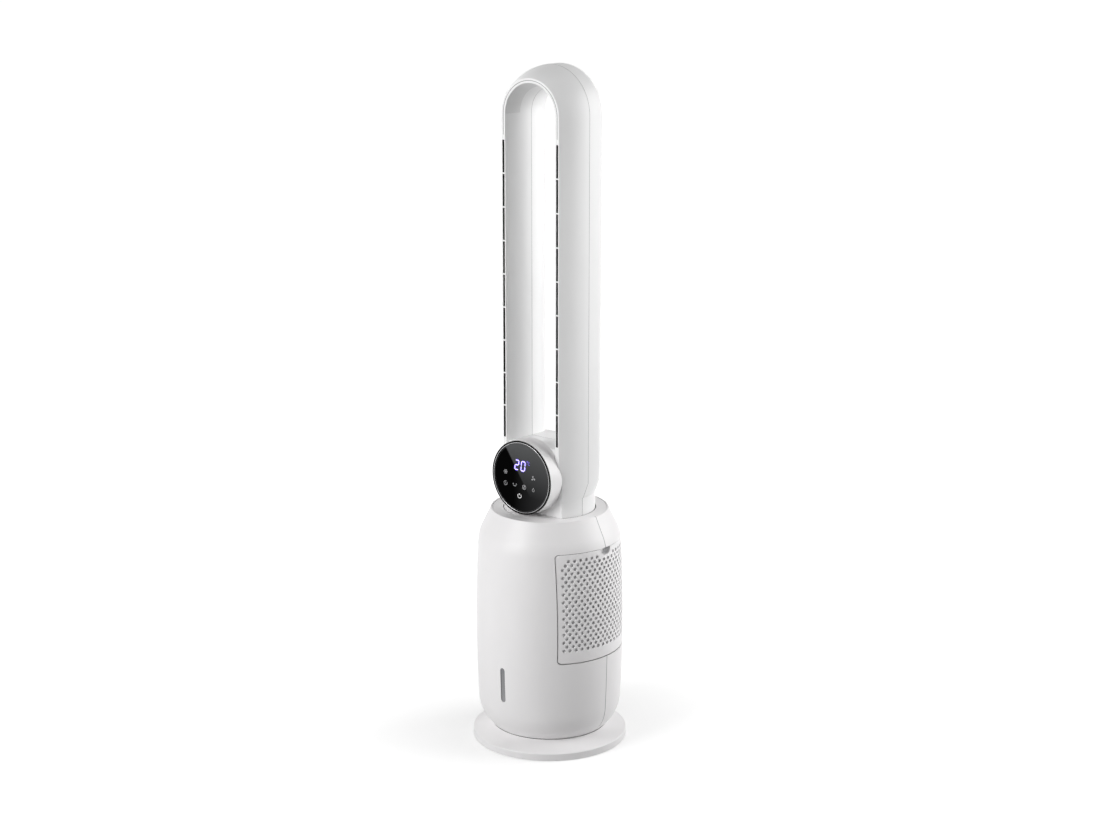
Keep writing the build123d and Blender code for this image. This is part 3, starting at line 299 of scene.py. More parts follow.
def brushed(name, light, dark, roughness):
    """Metal with fine upright lines."""
    g = Graph(name, light, roughness, metallic=1.0)
    lines = g.noise(900.0, stretch=(1.0, 1.0, 0.05))
    g.colour(g.mix(lines, light, dark))
    g.rough(lines, roughness - 0.06, roughness + 0.08)
    g.bump(lines, 0.00002)
    return g.material


def woven(name, light, dark):
    """A fine square weave in the YZ plane, raised threads over darker gaps."""
    g = Graph(name, light, 0.75)
    waves = []
    for axis in "YZ":
        phase = g.math("MULTIPLY", g.axis(axis), math.tau / WEAVE_PITCH)
        waves.append(g.math("ABSOLUTE", g.math("SINE", phase)))
    thread = g.most(*waves)
    g.colour(g.mix(g.rise(thread, 0.55, 0.95), dark, light))
    g.rough(g.noise(200.0), 0.7, 0.85)
    g.bump(thread, 0.0002)
    return g.material


def honeycomb(name, light, dark):
    """The cells of waved paper, seen on edge."""
    g = Graph(name, light, 0.9)
    cells = g.add("ShaderNodeTexVoronoi")
    g.set(cells, "Scale", 160.0)
    g.link(g.place, cells, "Vector")
    g.colour(g.mix(g.rise(cells.outputs["Distance"], 0.15, 0.6), dark, light))
    g.rough(g.noise(90.0), 0.85, 0.95)
    g.bump(cells.outputs["Distance"], 0.0008)
    return g.material


def level_window():
    """The tinted level window, darker at its edges and towards the top."""
    g = Graph("level_window_tint", (0.22, 0.22, 0.23), 0.22)
    height = g.rise(g.axis("Z"), *WINDOW_RISE)
    middle = g.mix(height, (0.30, 0.30, 0.31), (0.20, 0.20, 0.21))
    edge = g.rise(g.math("ABSOLUTE", g.axis("X")), *WINDOW_SIDE)
    g.colour(g.mix(edge, middle, (0.12, 0.12, 0.125)))
    g.rough(g.noise(120.0), 0.18, 0.28)
    g.bump(g.noise(500.0), 0.00001)
    return g.material


def display_glass():
    """Black glass with a painted reflection: a little lighter in its upper right part behind a
    straight slanting edge.
    """
    g = Graph("display_black_glass", (0.006, 0.006, 0.007), 0.12, Specular_IOR_Level=0.01)
    x = g.axis("X")
    up = g.math("SUBTRACT", g.axis("Z"), DRUM_Z * MM)
    across = g.math("ADD", g.math("MULTIPLY", x, GLARE_ACROSS), g.math("MULTIPLY", up, GLARE_UP))
    # Painted reflection of a softbox, in the glass's upper right part.
    glare = g.math("MULTIPLY", g.rise(across, *GLARE_EDGE), g.rise(up, *GLARE_RISE))
    low = g.mix(g.rise(x, *GLASS_SIDE), (0.0002, 0.0002, 0.0002), (0.026, 0.026, 0.027))
    g.colour(g.mix(glare, low, (0.095, 0.097, 0.099)))
    g.rough(g.noise(40.0), 0.10, 0.16)
    return g.material


def glowing(name, colour, strength):
    """A lit print, slightly uneven."""
    g = Graph(name, colour, 0.5)
    g.set(g.shader, "Emission Color", (*colour, 1.0))
    noise = g.noise(300.0, detail=1.0)
    uneven = g.ramp(noise, *NOISE_SPAN, strength * 0.92, strength * 1.06)
    g.link(uneven, g.shader, "Emission Strength")
    return g.material


# A moulded material's numbers are its roughness, its grain per metre and the grain's depth.
materials = {
    "white_plastic": white_gloss("white_gloss_plastic", WARM, WARM_LOW),
    "white_shell": white_gloss("white_gloss_shell", WARM, WARM_LOW, shell_seam_shade),
    "white_loop": white_gloss("white_gloss_loop", NEUTRAL, NEUTRAL_LOW, loop_painted_shade),
    "inner_plastic": moulded("grey_matt_plastic", (0.52, 0.525, 0.53), (0.47, 0.475, 0.48),
                             0.55, 1400.0, 0.00004),
    # Painted light: a paler copy of the grey inner plastic, standing in for light inside the finger
    # cup.
    "painted_light_frame": moulded("grey_frame_painted_light", (0.84, 0.84, 0.845), (0.80, 0.80, 0.805),
                           0.5, 1400.0, 0.00003),
    "black_plastic": moulded("black_matt_plastic", (0.010, 0.010, 0.011), (0.014, 0.014, 0.015),
                             0.5, 1400.0, 0.00003),
    "black_glass": display_glass(),
    "bright_ring": brushed("chrome_ring", (0.60, 0.60, 0.61), (0.54, 0.54, 0.55), 0.24),
    "window_grey": level_window(),
    "tank_plastic": moulded("frosted_tank_plastic", (0.66, 0.72, 0.76), (0.60, 0.67, 0.71),
                            0.4, 700.0, 0.00003),
    "rubber": moulded("dark_rubber", (0.035, 0.035, 0.036), (0.025, 0.025, 0.026),
                      0.8, 1800.0, 0.00008),
    "hose": moulded("milky_hose", (0.70, 0.72, 0.72), (0.64, 0.66, 0.66), 0.45, 500.0, 0.00002),
    "steel": brushed("zinc_steel", (0.60, 0.61, 0.62), (0.50, 0.51, 0.52), 0.34),
    "motor_steel": moulded("dark_motor_can", (0.05, 0.052, 0.055), (0.04, 0.042, 0.045),
                           0.45, 1200.0, 0.00003),
    "board": moulded("green_board", (0.02, 0.13, 0.055), (0.015, 0.10, 0.045),
                     0.4, 1500.0, 0.00002),
    "component": moulded("dark_component", (0.03, 0.03, 0.033), (0.04, 0.04, 0.043),
                         0.5, 1200.0, 0.00003),
    "digits": moulded("digit_block", (0.60, 0.58, 0.85), (0.55, 0.53, 0.80),
                      0.4, 800.0, 0.00001),
    "pad_paper": honeycomb("cooling_pad_paper", (0.36, 0.25, 0.13), (0.12, 0.07, 0.03)),
    "mesh": woven("dust_mesh", (0.80, 0.80, 0.81), (0.62, 0.62, 0.63)),
    "black_trim": moulded("black_gloss_trim", (0.006, 0.005, 0.005), (0.004, 0.004, 0.004),
                          0.25, 900.0, 0.00001, Specular_IOR_Level=0.12),
    "grey_line": moulded("grey_line", (0.06, 0.06, 0.062), (0.05, 0.05, 0.052),
                         0.4, 900.0, 0.00001),
    "gear": moulded("acetal", (0.80, 0.79, 0.74), (0.76, 0.75, 0.70), 0.42, 900.0, 0.00002),
}
# Every CAD node takes the material of its slot, apart from the special ones.
slot_of = {part["node"]: part["material_slot"] for part in frame["record"]["subparts"]}
# The side frames take the paler grey, which paints light into the finger cup.
SPECIAL = {"front_shell": "white_shell", "rear_shell": "white_shell",
           "loop_front_shell": "white_loop", "loop_rear_shell": "white_loop",
           "side_frames": "painted_light_frame"}
for name, node in nodes.items():
    for entry in node.material_slots:
        entry.material = materials[SPECIAL.get(name, slot_of[name])]


# ---------------------------------------------------------------- meshes


def add_piece(name, mesh, material, body):
    """An object with this mesh and material that rides on a body."""
    mesh.materials.append(material)
    piece = bpy.data.objects.new(name, mesh)
    bpy.context.scene.collection.objects.link(piece)
    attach(piece, body)
    return piece


def plain_piece(name, vertices, faces, material, body):
    """A piece from points in millimetres and faces that list them."""
    mesh = bpy.data.meshes.new(name)
    mesh.from_pydata([Vector(v) * MM for v in vertices], [], faces)
    mesh.validate()
    return add_piece(name, mesh, material, body)


def smooth_mesh(name, bm, sharp=None):
    """The finished mesh of a bmesh, smooth but for edges over the sharp angle, if it is given."""
    mesh = bpy.data.meshes.new(name)
    bm.to_mesh(mesh)
    bm.free()
    mesh.shade_smooth()
    if sharp:
        mesh.set_sharp_from_angle(angle=sharp)
    return mesh


def circle_through(points):
    """Centre and radius of the circle through three points."""
    (ax, ay), (bx, by), (cx, cy) = points
    d = 2 * (ax * (by - cy) + bx * (cy - ay) + cx * (ay - by))
    a, b, c = ax * ax + ay * ay, bx * bx + by * by, cx * cx + cy * cy
    ux = (a * (by - cy) + b * (cy - ay) + c * (ay - by)) / d
    uy = (a * (cx - bx) + b * (ax - cx) + c * (bx - ax)) / d
    return ux, uy, math.hypot(ax - ux, ay - uy)


def shoulder_circle(belly):
    """The arc that leaves the belly at its upper end without a kink and ends at the cone."""
    (cx, cy, _), (px, py), (qx, qy) = belly, BELLY[-1], CONE
    nx, ny = px - cx, py - cy
    length = math.hypot(nx, ny)
    nx, ny = nx / length, ny / length
    dx, dy = qx - px, qy - py
    radius = -(dx * dx + dy * dy) / (2 * (dx * nx + dy * ny))
    return px - nx * radius, py - ny * radius, radius


BELLY_CIRCLE = circle_through(BELLY)
SHOULDER_CIRCLE = shoulder_circle(BELLY_CIRCLE)


def barrel_slope(z):
    """The barrel's radius at a height, and how fast it changes there."""
    cx, cy, radius = BELLY_CIRCLE if z <= BELLY[-1][1] else SHOULDER_CIRCLE
    reach = math.sqrt(radius * radius - (z - cy) ** 2)
    return cx + reach, -(z - cy) / reach


def barrel_r(z):
    return barrel_slope(z)[0]


def on_barrel(s, z, depth):
    """The point at arc length s and height z, this deep under the barrel's surface."""
    radius = barrel_r(z)
    angle = s / radius
    return (radius - depth) * math.cos(angle), (radius - depth) * math.sin(angle), z


# ---------------------------------------------------------------- side covers


def cover_outline(inset):
    """The cover's edge from the side: a rectangle with round corners and a half-round notch."""
    half = COVER_HALF_W - SIDE_GAP - inset
    z0, z1 = COVER_Z0 + LOW_GAP + inset, COVER_Z1 - TOP_GAP - inset
    corner, notch = COVER_CORNER - inset, NOTCH_R + inset
    points = []

    def arc(cy, cz, radius, start, end, steps):
        for step in range(steps + 1):
            a = math.radians(start + (end - start) * step / steps)
            points.append((cy + radius * math.cos(a), cz + radius * math.sin(a)))

    def run(end, steps):
        (start_y, start_z), (end_y, end_z) = points[-1], end
        for step in range(1, steps):
            t = step / steps
            points.append((start_y + (end_y - start_y) * t, start_z + (end_z - start_z) * t))

    sink = math.degrees(math.asin(inset / notch))
    arc(half - corner, z1 - corner, corner, 0, 90, CORNER_STEPS)
    run((notch * math.cos(math.radians(sink)), z1), TOP_STEPS)
    arc(0, z1 + inset, notch, -sink, -180 + sink, NOTCH_STEPS)
    run((-half + corner, z1), TOP_STEPS)
    arc(-half + corner, z1 - corner, corner, 90, 180, CORNER_STEPS)
    run((-half, z0 + corner), SIDE_STEPS)
    arc(-half + corner, z0 + corner, corner, 180, 270, CORNER_STEPS)
    run((half - corner, z0), LOW_STEPS)
    arc(half - corner, z0 + corner, corner, 270, 360, CORNER_STEPS)
    run(points[0], SIDE_STEPS)
    return points


def cover_holes():
    """Centres (s, z) of the holes, row by row, with none at the notch or in the top corners."""
    centres = []
    for row in range(HOLE_ROWS):
        z = HOLE_Z0 + row * HOLE_PITCH_Z
        count = HOLE_COLS - row % 2
        for column in range(count):
            s = (column - (count - 1) / 2) * HOLE_PITCH_S
            y = barrel_r(z) * math.sin(s / barrel_r(z))
            near_notch = math.hypot(y, z - COVER_Z1) < NOTCH_R + HOLE_TO_NOTCH
            corner = row == HOLE_ROWS - 1 and column in (0, count - 1)
            if not near_notch and not corner:
                centres.append((s, z))
    return centres


def flat_cover():
    """The cover's face laid flat: its points (s, z), triangles, border and holes.

    The border and each hole list their points, and a hole comes with its centre."""
    flat_points, edges = [], []

    def loop(points):
        first, count = len(flat_points), len(points)
        flat_points.extend(Vector(p) for p in points)
        edges.extend((first + i, first + (i + 1) % count) for i in range(count))
        return list(range(first, first + count))

    def laid_flat(y, z):
        radius = barrel_r(z)
        return radius * math.asin(max(-1.0, min(1.0, y / radius))), z

    border = loop([laid_flat(y, z) for y, z in cover_outline(COVER_BEVEL)])
    centres = cover_holes()
    angles = [math.tau * k / HOLE_SIDES for k in range(HOLE_SIDES)]
    rings = [loop([(s + HOLE_MOUTH_R * math.cos(a), z + HOLE_MOUTH_R * math.sin(a))
                   for a in angles]) for s, z in centres]
    verts, _, faces, *_ = delaunay_2d_cdt(flat_points, edges, [], 0, WELD)

    def solid(face):
        s = sum(verts[i].x for i in face) / len(face)
        z = sum(verts[i].y for i in face) / len(face)
        if any(math.hypot(s - hole_s, z - hole_z) < HOLE_OPEN for hole_s, hole_z in centres):
            return False
        y = barrel_r(z) * math.sin(s / barrel_r(z))
        in_notch = math.hypot(y, z - COVER_Z1) < NOTCH_R + NOTCH_CLEAR
        return abs(y) < COVER_HALF_W and COVER_Z0 < z < COVER_Z1 and not in_notch

    return verts, [face for face in faces if solid(face)], border, list(zip(rings, centres))


def make_grille(side, name, node, body, flat):
    """The perforated cover: two skins, chamfered holes, and a bevelled rim all round."""
    verts, faces, border, holes = flat
    bm = bmesh.new()
    outer = [bm.verts.new(on_barrel(v.x, v.y, 0.0)) for v in verts]
    inner = [bm.verts.new(on_barrel(v.x, v.y, WALL)) for v in verts]
    for face in faces:
        bm.faces.new([outer[i] for i in face])
        bm.faces.new([inner[i] for i in reversed(face)])
    shrink = HOLE_R / HOLE_MOUTH_R
    for ring, (s, z) in holes:
        throat = []
        for i in ring:
            at = s + (verts[i].x - s) * shrink, z + (verts[i].y - z) * shrink
            throat.append(bm.verts.new(on_barrel(*at, HOLE_CHAMFER)))
            inner[i].co = on_barrel(*at, WALL)
        for k in range(HOLE_SIDES):
            n = (k + 1) % HOLE_SIDES
            a, b = ring[k], ring[n]
            bm.faces.new([outer[b], outer[a], throat[k], throat[n]])
            bm.faces.new([throat[n], throat[k], inner[a], inner[b]])
    rim_out, rim_in = [], []
    for y, z in cover_outline(0.0):
        for depth, rim in ((COVER_BEVEL, rim_out), (WALL, rim_in)):
            rim.append(bm.verts.new((math.sqrt((barrel_r(z) - depth) ** 2 - y * y), y, z)))
    for k, a in enumerate(border):
        n = (k + 1) % len(border)
        b = border[n]
        bm.faces.new([outer[a], outer[b], rim_out[n], rim_out[k]])
        bm.faces.new([rim_out[k], rim_out[n], rim_in[n], rim_in[k]])
        bm.faces.new([rim_in[k], rim_in[n], inner[b], inner[a]])
    bmesh.ops.recalc_face_normals(bm, faces=bm.faces)
    for v in bm.verts:
        v.co = Vector((v.co.x * side, v.co.y, v.co.z)) * MM
    if side < 0:
        bmesh.ops.reverse_faces(bm, faces=bm.faces)
    mesh = smooth_mesh(name, bm)
    take_barrel_normals(mesh)
    piece = add_piece(name, mesh, materials["white_plastic"], body)
    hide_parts(node)


def take_barrel_normals(mesh):
    """Gives the curved faces the barrel's own normals, and leaves walls and rims flat."""
    normals = [None] * len(mesh.loops)
    for face in mesh.polygons:
        for index in face.loop_indices:
            co = mesh.vertices[mesh.loops[index].vertex_index].co / MM
            radial = Vector((co.x, co.y, 0.0)).normalized()
            barrel = (radial - Vector((0, 0, barrel_slope(co.z)[1]))).normalized()
            turn = face.normal.dot(barrel)
            if abs(turn) > FACING:
                normals[index] = barrel if turn > 0 else -barrel
            else:
                normals[index] = face.normal
    mesh.normals_split_custom_set(normals)


def make_dust_mesh(side, name, node, body):
    """The curved dust mesh close behind a cover, cut out round the finger cup."""
    steps = range(MESH_STEPS)
    columns = [-MESH_HALF_W + 2 * MESH_HALF_W * k / MESH_STEPS for k in range(MESH_STEPS + 1)]
    rows = [MESH_Z0 + (MESH_Z1 - MESH_Z0) * k / MESH_STEPS for k in range(MESH_STEPS + 1)]
    bm = bmesh.new()
    grid = {}
    for j, z in enumerate(rows):
        for i, y in enumerate(columns):
            for layer in (0, 1):
                radius = barrel_r(z) - WALL - MESH_GAP - layer * MESH_T
                x = side * math.sqrt(radius * radius - y * y)
                grid[i, j, layer] = bm.verts.new((x * MM, y * MM, z * MM))

    def kept(i, j):
        if i not in steps or j not in steps:
            return False
        y, z = (columns[i] + columns[i + 1]) / 2, (rows[j] + rows[j + 1]) / 2
        return not (abs(y) < CUP_TAB_HALF_W and z > CUP_TAB_Z)

    for j in steps:
        for i in steps:
            if not kept(i, j):
                continue
            a, b, c, d = (i, j), (i + 1, j), (i + 1, j + 1), (i, j + 1)
            for layer in (0, 1):
                bm.faces.new([grid[(*corner, layer)] for corner in (a, b, c, d)])
            for beside, p, q in (((i - 1, j), a, d), ((i + 1, j), b, c),
                                 ((i, j - 1), a, b), ((i, j + 1), d, c)):
                if not kept(*beside):
                    bm.faces.new([grid[(*p, 0)], grid[(*q, 0)], grid[(*q, 1)], grid[(*p, 1)]])
    unused = [v for v in bm.verts if not v.link_faces]
    bmesh.ops.delete(bm, geom=unused, context="VERTS")
    bmesh.ops.recalc_face_normals(bm, faces=bm.faces)
    mesh = smooth_mesh(name, bm, SHARP)
    piece = add_piece(name, mesh, materials["mesh"], body)
    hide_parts(node)


# ---------------------------------------------------------------- display and slots


def turned_ring(name, profile, material):
    """A closed profile of (radius, y) points turned about the drum's axis."""
    bm = bmesh.new()
    rings = []
    for k in range(RING_STEPS):
        a = math.tau * k / RING_STEPS
        ring = [(r * math.sin(a), y, DRUM_Z + r * math.cos(a)) for r, y in profile]
        rings.append([bm.verts.new(Vector(point) * MM) for point in ring])
    for ring, following in zip(rings, rings[1:] + rings[:1]):
        for i in range(len(profile)):
            j = (i + 1) % len(profile)
            bm.faces.new([ring[i], ring[j], following[j], following[i]])
    bmesh.ops.recalc_face_normals(bm, faces=bm.faces)
    return add_piece(name, smooth_mesh(name, bm, SHARP), material, "tower")


def bead(radius, y, size, sides):
    """The profile of a round bead."""
    angles = [math.tau * k / sides for k in range(sides)]
    return [(radius + size * math.cos(a), y + size * math.sin(a)) for a in angles]


def slot_liners():
    """Black open frames that line the air slots, each with a narrow flange on the lip's face."""
    half_w, half_l = SLOT_W / 2 - SLOT_PLAY, SLOT_LEN / 2 - SLOT_PLAY
    section = ((half_w + FLANGE, half_l, FLANGE_FRONT),
               (half_w - LINER_T, half_l - LINER_T, FLANGE_FRONT),
               (half_w - LINER_T, half_l - LINER_T, LINER_DEPTH),
               (half_w, half_l, LINER_DEPTH),
               (half_w, half_l, FLANGE_BACK),
               (half_w + FLANGE, half_l, FLANGE_BACK))
    vertices, faces = [], []
    for side in (-1, 1):
        for number in range(SLOTS):
            middle = SLOT_TOP_Z - number * SLOT_PITCH - SLOT_LEN / 2
            first = len(vertices)
            for w, l, depth in section:
                for dx, dz in ((-w, -l), (w, -l), (w, l), (-w, l)):
                    vertices.append((side * SLOT_X + dx, LIP_Y + depth, middle + dz))
            for ring in range(len(section)):
                a, b = first + 4 * ring, first + 4 * ((ring + 1) % len(section))
                for k in range(4):
                    n = (k + 1) % 4
                    faces.append([a + k, a + n, b + n, b + k])
    plain_piece("slot_liners", vertices, faces, materials["black_plastic"], "tower")


# ---------------------------------------------------------------- print on the glass

# Points are (x, z) from the drum's centre. A figure is its digit, its centre, and half the width
# and half the height of its bars' middle lines.
FIGURES = (("2", (-8.8, 19.9), 3.6, 7.7), ("0", (3.9, 19.4), 3.8, 7.6))
SEGMENTS = {"2": "abged", "0": "abcdef"}
LEAN = math.tan(math.radians(6.5))
BAR_GAP, BAR_TIP = 0.35, 0.42       # a bar's distance from a corner, and its point over its stroke
MITRE_LIMIT = 0.4                   # least cosine by which a ribbon's corner is widened
DEGREE_RING, DEGREE_LETTER = (12.6, 28.2), (16.2, 25.2)
SNOWFLAKE, CLOCK, SWING = (-32.2, 5.0), (-32.4, -13.7), (-13.3, -12.6)
MODE, DROP, FAN, POWER = (5.9, -14.4), (24.8, -16.2), (24.5, 3.0), (-3.6, -30.1)


def ribbon(points, width, closed=False):
    """Quads that make a flat line of constant width along the points."""
    left, right = [], []
    count = len(points)
    for i, point in enumerate(points):
        p = Vector(point)
        first = (p - Vector(points[i - 1])).normalized() if i or closed else None
        last = None
        if i + 1 < count or closed:
            last = (Vector(points[(i + 1) % count]) - p).normalized()
        first, last = first or last, last or first
        along = (first + last).normalized()
        normal = Vector((-along.y, along.x))
        stretch = 1.0 / max(MITRE_LIMIT, normal.dot(Vector((-first.y, first.x))))
        left.append(p + normal * width / 2 * stretch)
        right.append(p - normal * width / 2 * stretch)
    quads = []
    for i in range(count if closed else count - 1):
        j = (i + 1) % count
        quads.append([left[i], right[i], right[j], left[j]])
    return quads


def polar(centre, radius, degrees):
    """The point at this distance and angle from a centre."""
    a = math.radians(degrees)
    return centre[0] + radius * math.cos(a), centre[1] + radius * math.sin(a)


def arc_points(centre, radius, start, end, steps):
    return [polar(centre, radius, start + (end - start) * k / steps) for k in range(steps + 1)]


def print_on_glass(name, polygons, material, lift):
    """Thin polygons that stand this far out of the display glass."""
    vertices, faces = [], []
    for polygon in polygons:
        count = len(polygon)
        area = sum(p[0] * q[1] - q[0] * p[1] for p, q in zip(polygon, polygon[1:] + polygon[:1]))
        points = polygon if area > 0 else polygon[::-1]
        first = len(vertices)
        for depth in (-lift, PRINT_T - lift):
            vertices.extend((x, GLASS_Y + depth, DRUM_Z + z) for x, z in points)
        faces.append([first + i for i in range(count)])
        faces.append([first + count + i for i in reversed(range(count))])
        for i in range(count):
            j = (i + 1) % count
            faces.append([first + j, first + i, first + count + i, first + count + j])
    plain_piece(name, vertices, faces, material, "tower")


def figure_bars(figure, centre, half_w, half_h, stroke):
    """Bars with pointed ends, as in a seven-segment figure, leaning to the right."""
    ends = {
        "a": ((-half_w, half_h), (half_w, half_h)), "g": ((-half_w, 0), (half_w, 0)),
        "d": ((-half_w, -half_h), (half_w, -half_h)), "f": ((-half_w, 0), (-half_w, half_h)),
        "b": ((half_w, 0), (half_w, half_h)), "e": ((-half_w, -half_h), (-half_w, 0)),
        "c": ((half_w, -half_h), (half_w, 0)),
    }
    bars = []
    for key in SEGMENTS[figure]:
        start, end = (Vector(point) for point in ends[key])
        along = (end - start).normalized()
        side = Vector((-along.y, along.x)) * stroke / 2
        start, end = start + along * BAR_GAP, end - along * BAR_GAP
        tip = along * stroke * BAR_TIP
        corners = (start, start + tip - side, end - tip - side, end, end - tip + side,
                   start + tip + side)
        bars.append([(centre[0] + p.x + p.y * LEAN, centre[1] + p.y) for p in corners])
    return bars


def figures(stroke):
    """The lit figures, with bars this wide about the same middle lines."""
    return [bar for figure in FIGURES for bar in figure_bars(*figure, stroke)]


def degree_sign(width):
    ring = ribbon(arc_points(DEGREE_RING, 1.0, 0, 360, 16)[:-1], width, True)
    return ring + ribbon(arc_points(DEGREE_LETTER, 2.2, 50, 310, 14), width)


def snowflake(centre):
    drawn = []
    for angle in range(0, 360, 60):
        drawn += ribbon([centre, polar(centre, 4.0, angle)], 0.6)
        fork = polar(centre, 2.2, angle)
        for turn in (-55, 55):
            drawn += ribbon([fork, polar(fork, 1.6, angle + turn)], 0.5)
    return drawn


def clock(centre):
    x, z = centre
    hands = [(x, z + 2.0), (x, z - 0.3), (x + 1.5, z - 1.0)]
    return ribbon(arc_points(centre, 3.4, 60, 380, 26), 0.7) + ribbon(hands, 0.6)


def swing_arrows(centre):
    x, z = centre
    heads = [[(x + side * 4.2, z - 0.4), (x + side * 1.8, z - 0.1), (x + side * 3.4, z + 1.9)]
             for side in (-1, 1)]
    return ribbon(arc_points(centre, 3.0, 200, 340, 14), 0.75) + heads


def mode_dial(centre):
    wedges = [[centre] + arc_points(centre, 2.3, start, start + 90, 8) for start in (20, 200)]
    return ribbon(arc_points(centre, 3.5, 0, 360, 28)[:-1], 0.75, True) + wedges


def drop(centre):
    tip = (centre[0], centre[1] + 3.8)
    return ribbon([tip] + arc_points(centre, 2.0, 35, -215, 18), 0.7, True)


def fan_blades(centre):
    return [[centre] + arc_points(polar(centre, 2.3, angle), 1.9, angle - 20, angle + 170, 8)
            for angle in (90, 210, 330)]


def power_sign(centre):
    x, z = centre
    bar = [(x, z + 4.2), (x, z + 1.3)]
    return ribbon(arc_points(centre, 3.5, 135, 405, 26), 0.95) + ribbon(bar, 0.95)


def key_symbols():
    return (snowflake(SNOWFLAKE) + clock(CLOCK) + swing_arrows(SWING) + mode_dial(MODE)
            + drop(DROP) + fan_blades(FAN))


# ---------------------------------------------------------------- the pieces

SIDES = ((1, "right"), (-1, "left"))
flat = flat_cover()
for side, label in SIDES:
    make_grille(side, f"{label}_grille", f"{label}_cover", f"{label}_cover_set", flat)

band = turned_ring("display_band", BAND, materials["black_trim"])
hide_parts("display_bezel")
turned_ring("display_bead", bead(*BRIGHT_BEAD), materials["bright_ring"])
turned_ring("display_inner_line", bead(*INNER_LINE), materials["grey_line"])

slot_liners()

for side, label in SIDES:
    make_dust_mesh(side, f"{label}_dust_mesh", f"{label}_filter", f"{label}_cover_set")

# Name, polygons, the material's name, colour and strength, and how far the print stands out
PRINTS = (
    ("digit_halo_outer", figures(3.7), "digit_halo", (0.045, 0.02, 0.42), 1.0, 0.04),
    ("digit_halo_inner", figures(2.15), "digit_inner_halo", (0.13, 0.07, 0.78), 0.9, 0.08),
    ("digits_lit", figures(1.1), "digit_core", (0.80, 0.74, 1.0), 1.0, 0.12),
    ("unit_lit", degree_sign(0.75), "unit_violet", (0.10, 0.07, 0.48), 0.9, 0.1),
    ("key_symbols", key_symbols(), "symbol_grey", (0.18, 0.18, 0.185), 0.8, 0.08),
    ("power_symbol", power_sign(POWER), "power_white", (0.50, 0.50, 0.50), 1.0, 0.08),
)
for name, polygons, material, colour, strength, lift in PRINTS:
    print_on_glass(name, polygons, glowing(material, colour, strength), lift)


# ---------------------------------------------------------------- studio, in metres

WORLD_LIGHT = 0.075
FLOOR_HALF, FLOOR_GREY = 30.0, (0.52, 0.52, 0.52)
# The floor's glow grows from the first strength to the second between these distances.
FLOOR_NEAR, FLOOR_GLOW = (0.12, 0.6), (0.54, 1.0)
FULL_SPREAD = 180.0
# Name, place, target, width, height, watts and spread in degrees
LAMPS = (
    ("left_softbox", (-0.57, -2.12, 1.3), (0, 0, 0.75), 1.2, 2.1, 48.0, FULL_SPREAD),
    ("right_softbox", (1.60, 1.50, 1.3), (0, 0, 0.72), 1.9, 1.9, 51.0, FULL_SPREAD),
    ("leg_strip", (1.86, 0.73, 0.70), (0, 0, 0.67), 0.4, 0.6, 0.10, 24.0),
    ("back_softbox", (-2.2, 0.9, 1.2), (0, 0, 0.7), 1.2, 1.8, 5.0, FULL_SPREAD),
    ("top_softbox", (0.2, -0.1, 3.0), (0, 0, 0.5), 1.4, 1.4, 4.0, FULL_SPREAD),
)
CAMERA_PLACE, CAMERA_TURN = (2.103, -2.553, 1.376), (75.85, 0.0, 39.47)
CAMERA_LENS, CAMERA_SENSOR, CAMERA_REACH = 70.4, 36.0, 200.0


def softbox(name, place, target, width, height, power, spread):
    lamp = bpy.data.lights.new(name, "AREA")
    lamp.shape, lamp.size, lamp.size_y, lamp.energy = "RECTANGLE", width, height, power
    lamp.spread = math.radians(spread)
    holder = bpy.data.objects.new(name, lamp)
    bpy.context.scene.collection.objects.link(holder)
    holder.location = place
    beam = Vector(target) - holder.location
    holder.rotation_euler = beam.to_track_quat("-Z", "Y").to_euler()


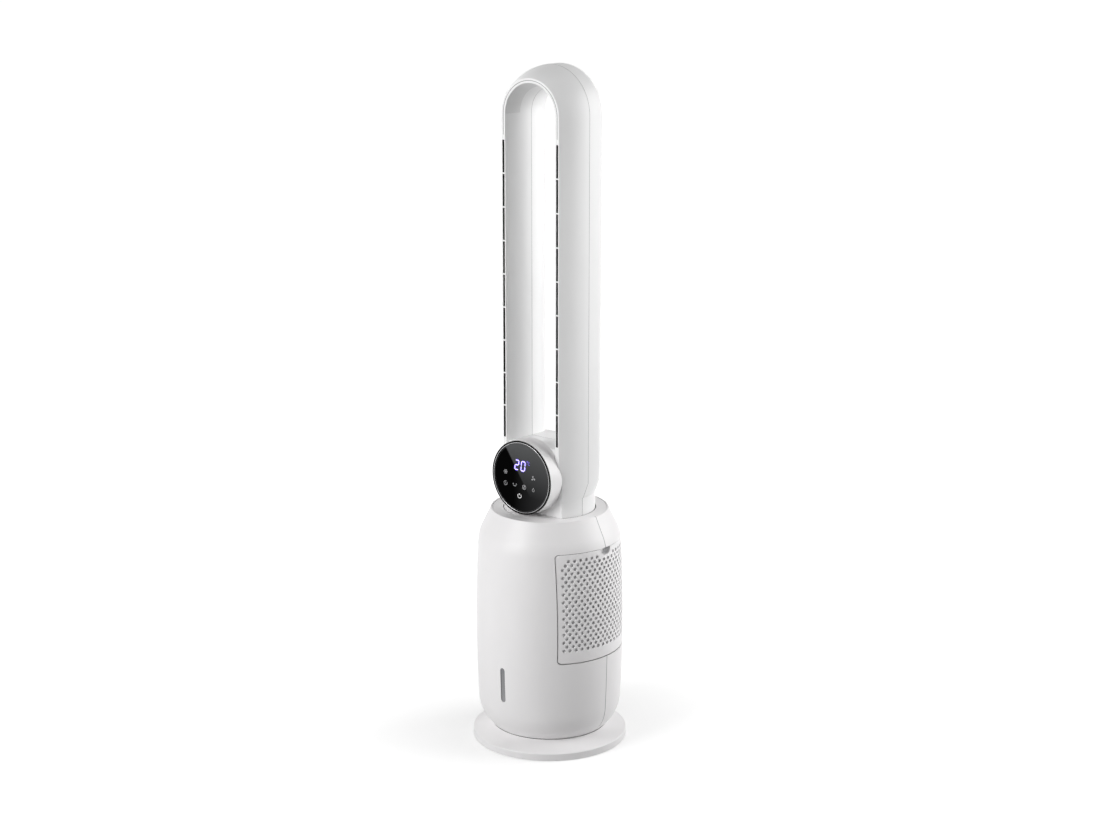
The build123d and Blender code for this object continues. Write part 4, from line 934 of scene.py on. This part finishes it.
def seen_directly(tree):
    """1 for camera, glossy and transmission rays and 0 for the rest."""
    path = tree.nodes.new("ShaderNodeLightPath")
    total = path.outputs["Is Camera Ray"]
    for kind in ("Is Glossy Ray", "Is Transmission Ray"):
        node = tree.nodes.new("ShaderNodeMath")
        node.operation = "MAXIMUM"
        tree.links.new(total, node.inputs[0])
        tree.links.new(path.outputs[kind], node.inputs[1])
        total = node.outputs[0]
    return total


def make_world():
    """White where it is seen directly, and faint as a light."""
    world = bpy.data.worlds.new("studio")
    bpy.context.scene.world = world
    world.use_nodes = True
    tree = world.node_tree
    background = tree.nodes["Background"]
    background.inputs["Color"].default_value = (1, 1, 1, 1)
    strength = tree.nodes.new("ShaderNodeMapRange")
    strength.inputs["To Min"].default_value = WORLD_LIGHT
    strength.inputs["To Max"].default_value = 1.0
    tree.links.new(seen_directly(tree), strength.inputs["Value"])
    tree.links.new(strength.outputs[0], background.inputs["Strength"])


def make_floor():
    """A pale floor that looks white far off and keeps the object's shadow near it."""
    mesh = bpy.data.meshes.new("studio_floor")
    corners = [(x * FLOOR_HALF, y * FLOOR_HALF, 0) for x, y in ((-1, -1), (1, -1), (1, 1), (-1, 1))]
    mesh.from_pydata(corners, [], [(0, 1, 2, 3)])
    floor = bpy.data.objects.new("studio_floor", mesh)
    bpy.context.scene.collection.objects.link(floor)
    g = Graph("pale_floor", FLOOR_GREY, 0.9, Specular_IOR_Level=0.0)
    distance = g.add("ShaderNodeVectorMath", operation="LENGTH")
    g.link(g.place, distance, 0)
    glow = g.ramp(distance.outputs["Value"], *FLOOR_NEAR, *FLOOR_GLOW)
    g.set(g.shader, "Emission Color", (1, 1, 1, 1))
    g.link(g.math("MULTIPLY", glow, seen_directly(g.tree)), g.shader, "Emission Strength")
    mesh.materials.append(g.material)


make_world()
make_floor()
for lamp in LAMPS:
    softbox(*lamp)

camera = bpy.data.objects.new("camera", bpy.data.cameras.new("camera"))
bpy.context.scene.collection.objects.link(camera)
camera.location = CAMERA_PLACE
camera.rotation_euler = [math.radians(angle) for angle in CAMERA_TURN]
camera.data.lens, camera.data.sensor_width = CAMERA_LENS, CAMERA_SENSOR
camera.data.clip_end = CAMERA_REACH
bpy.context.scene.camera = camera
bpy.context.scene.view_settings.view_transform = "Standard"
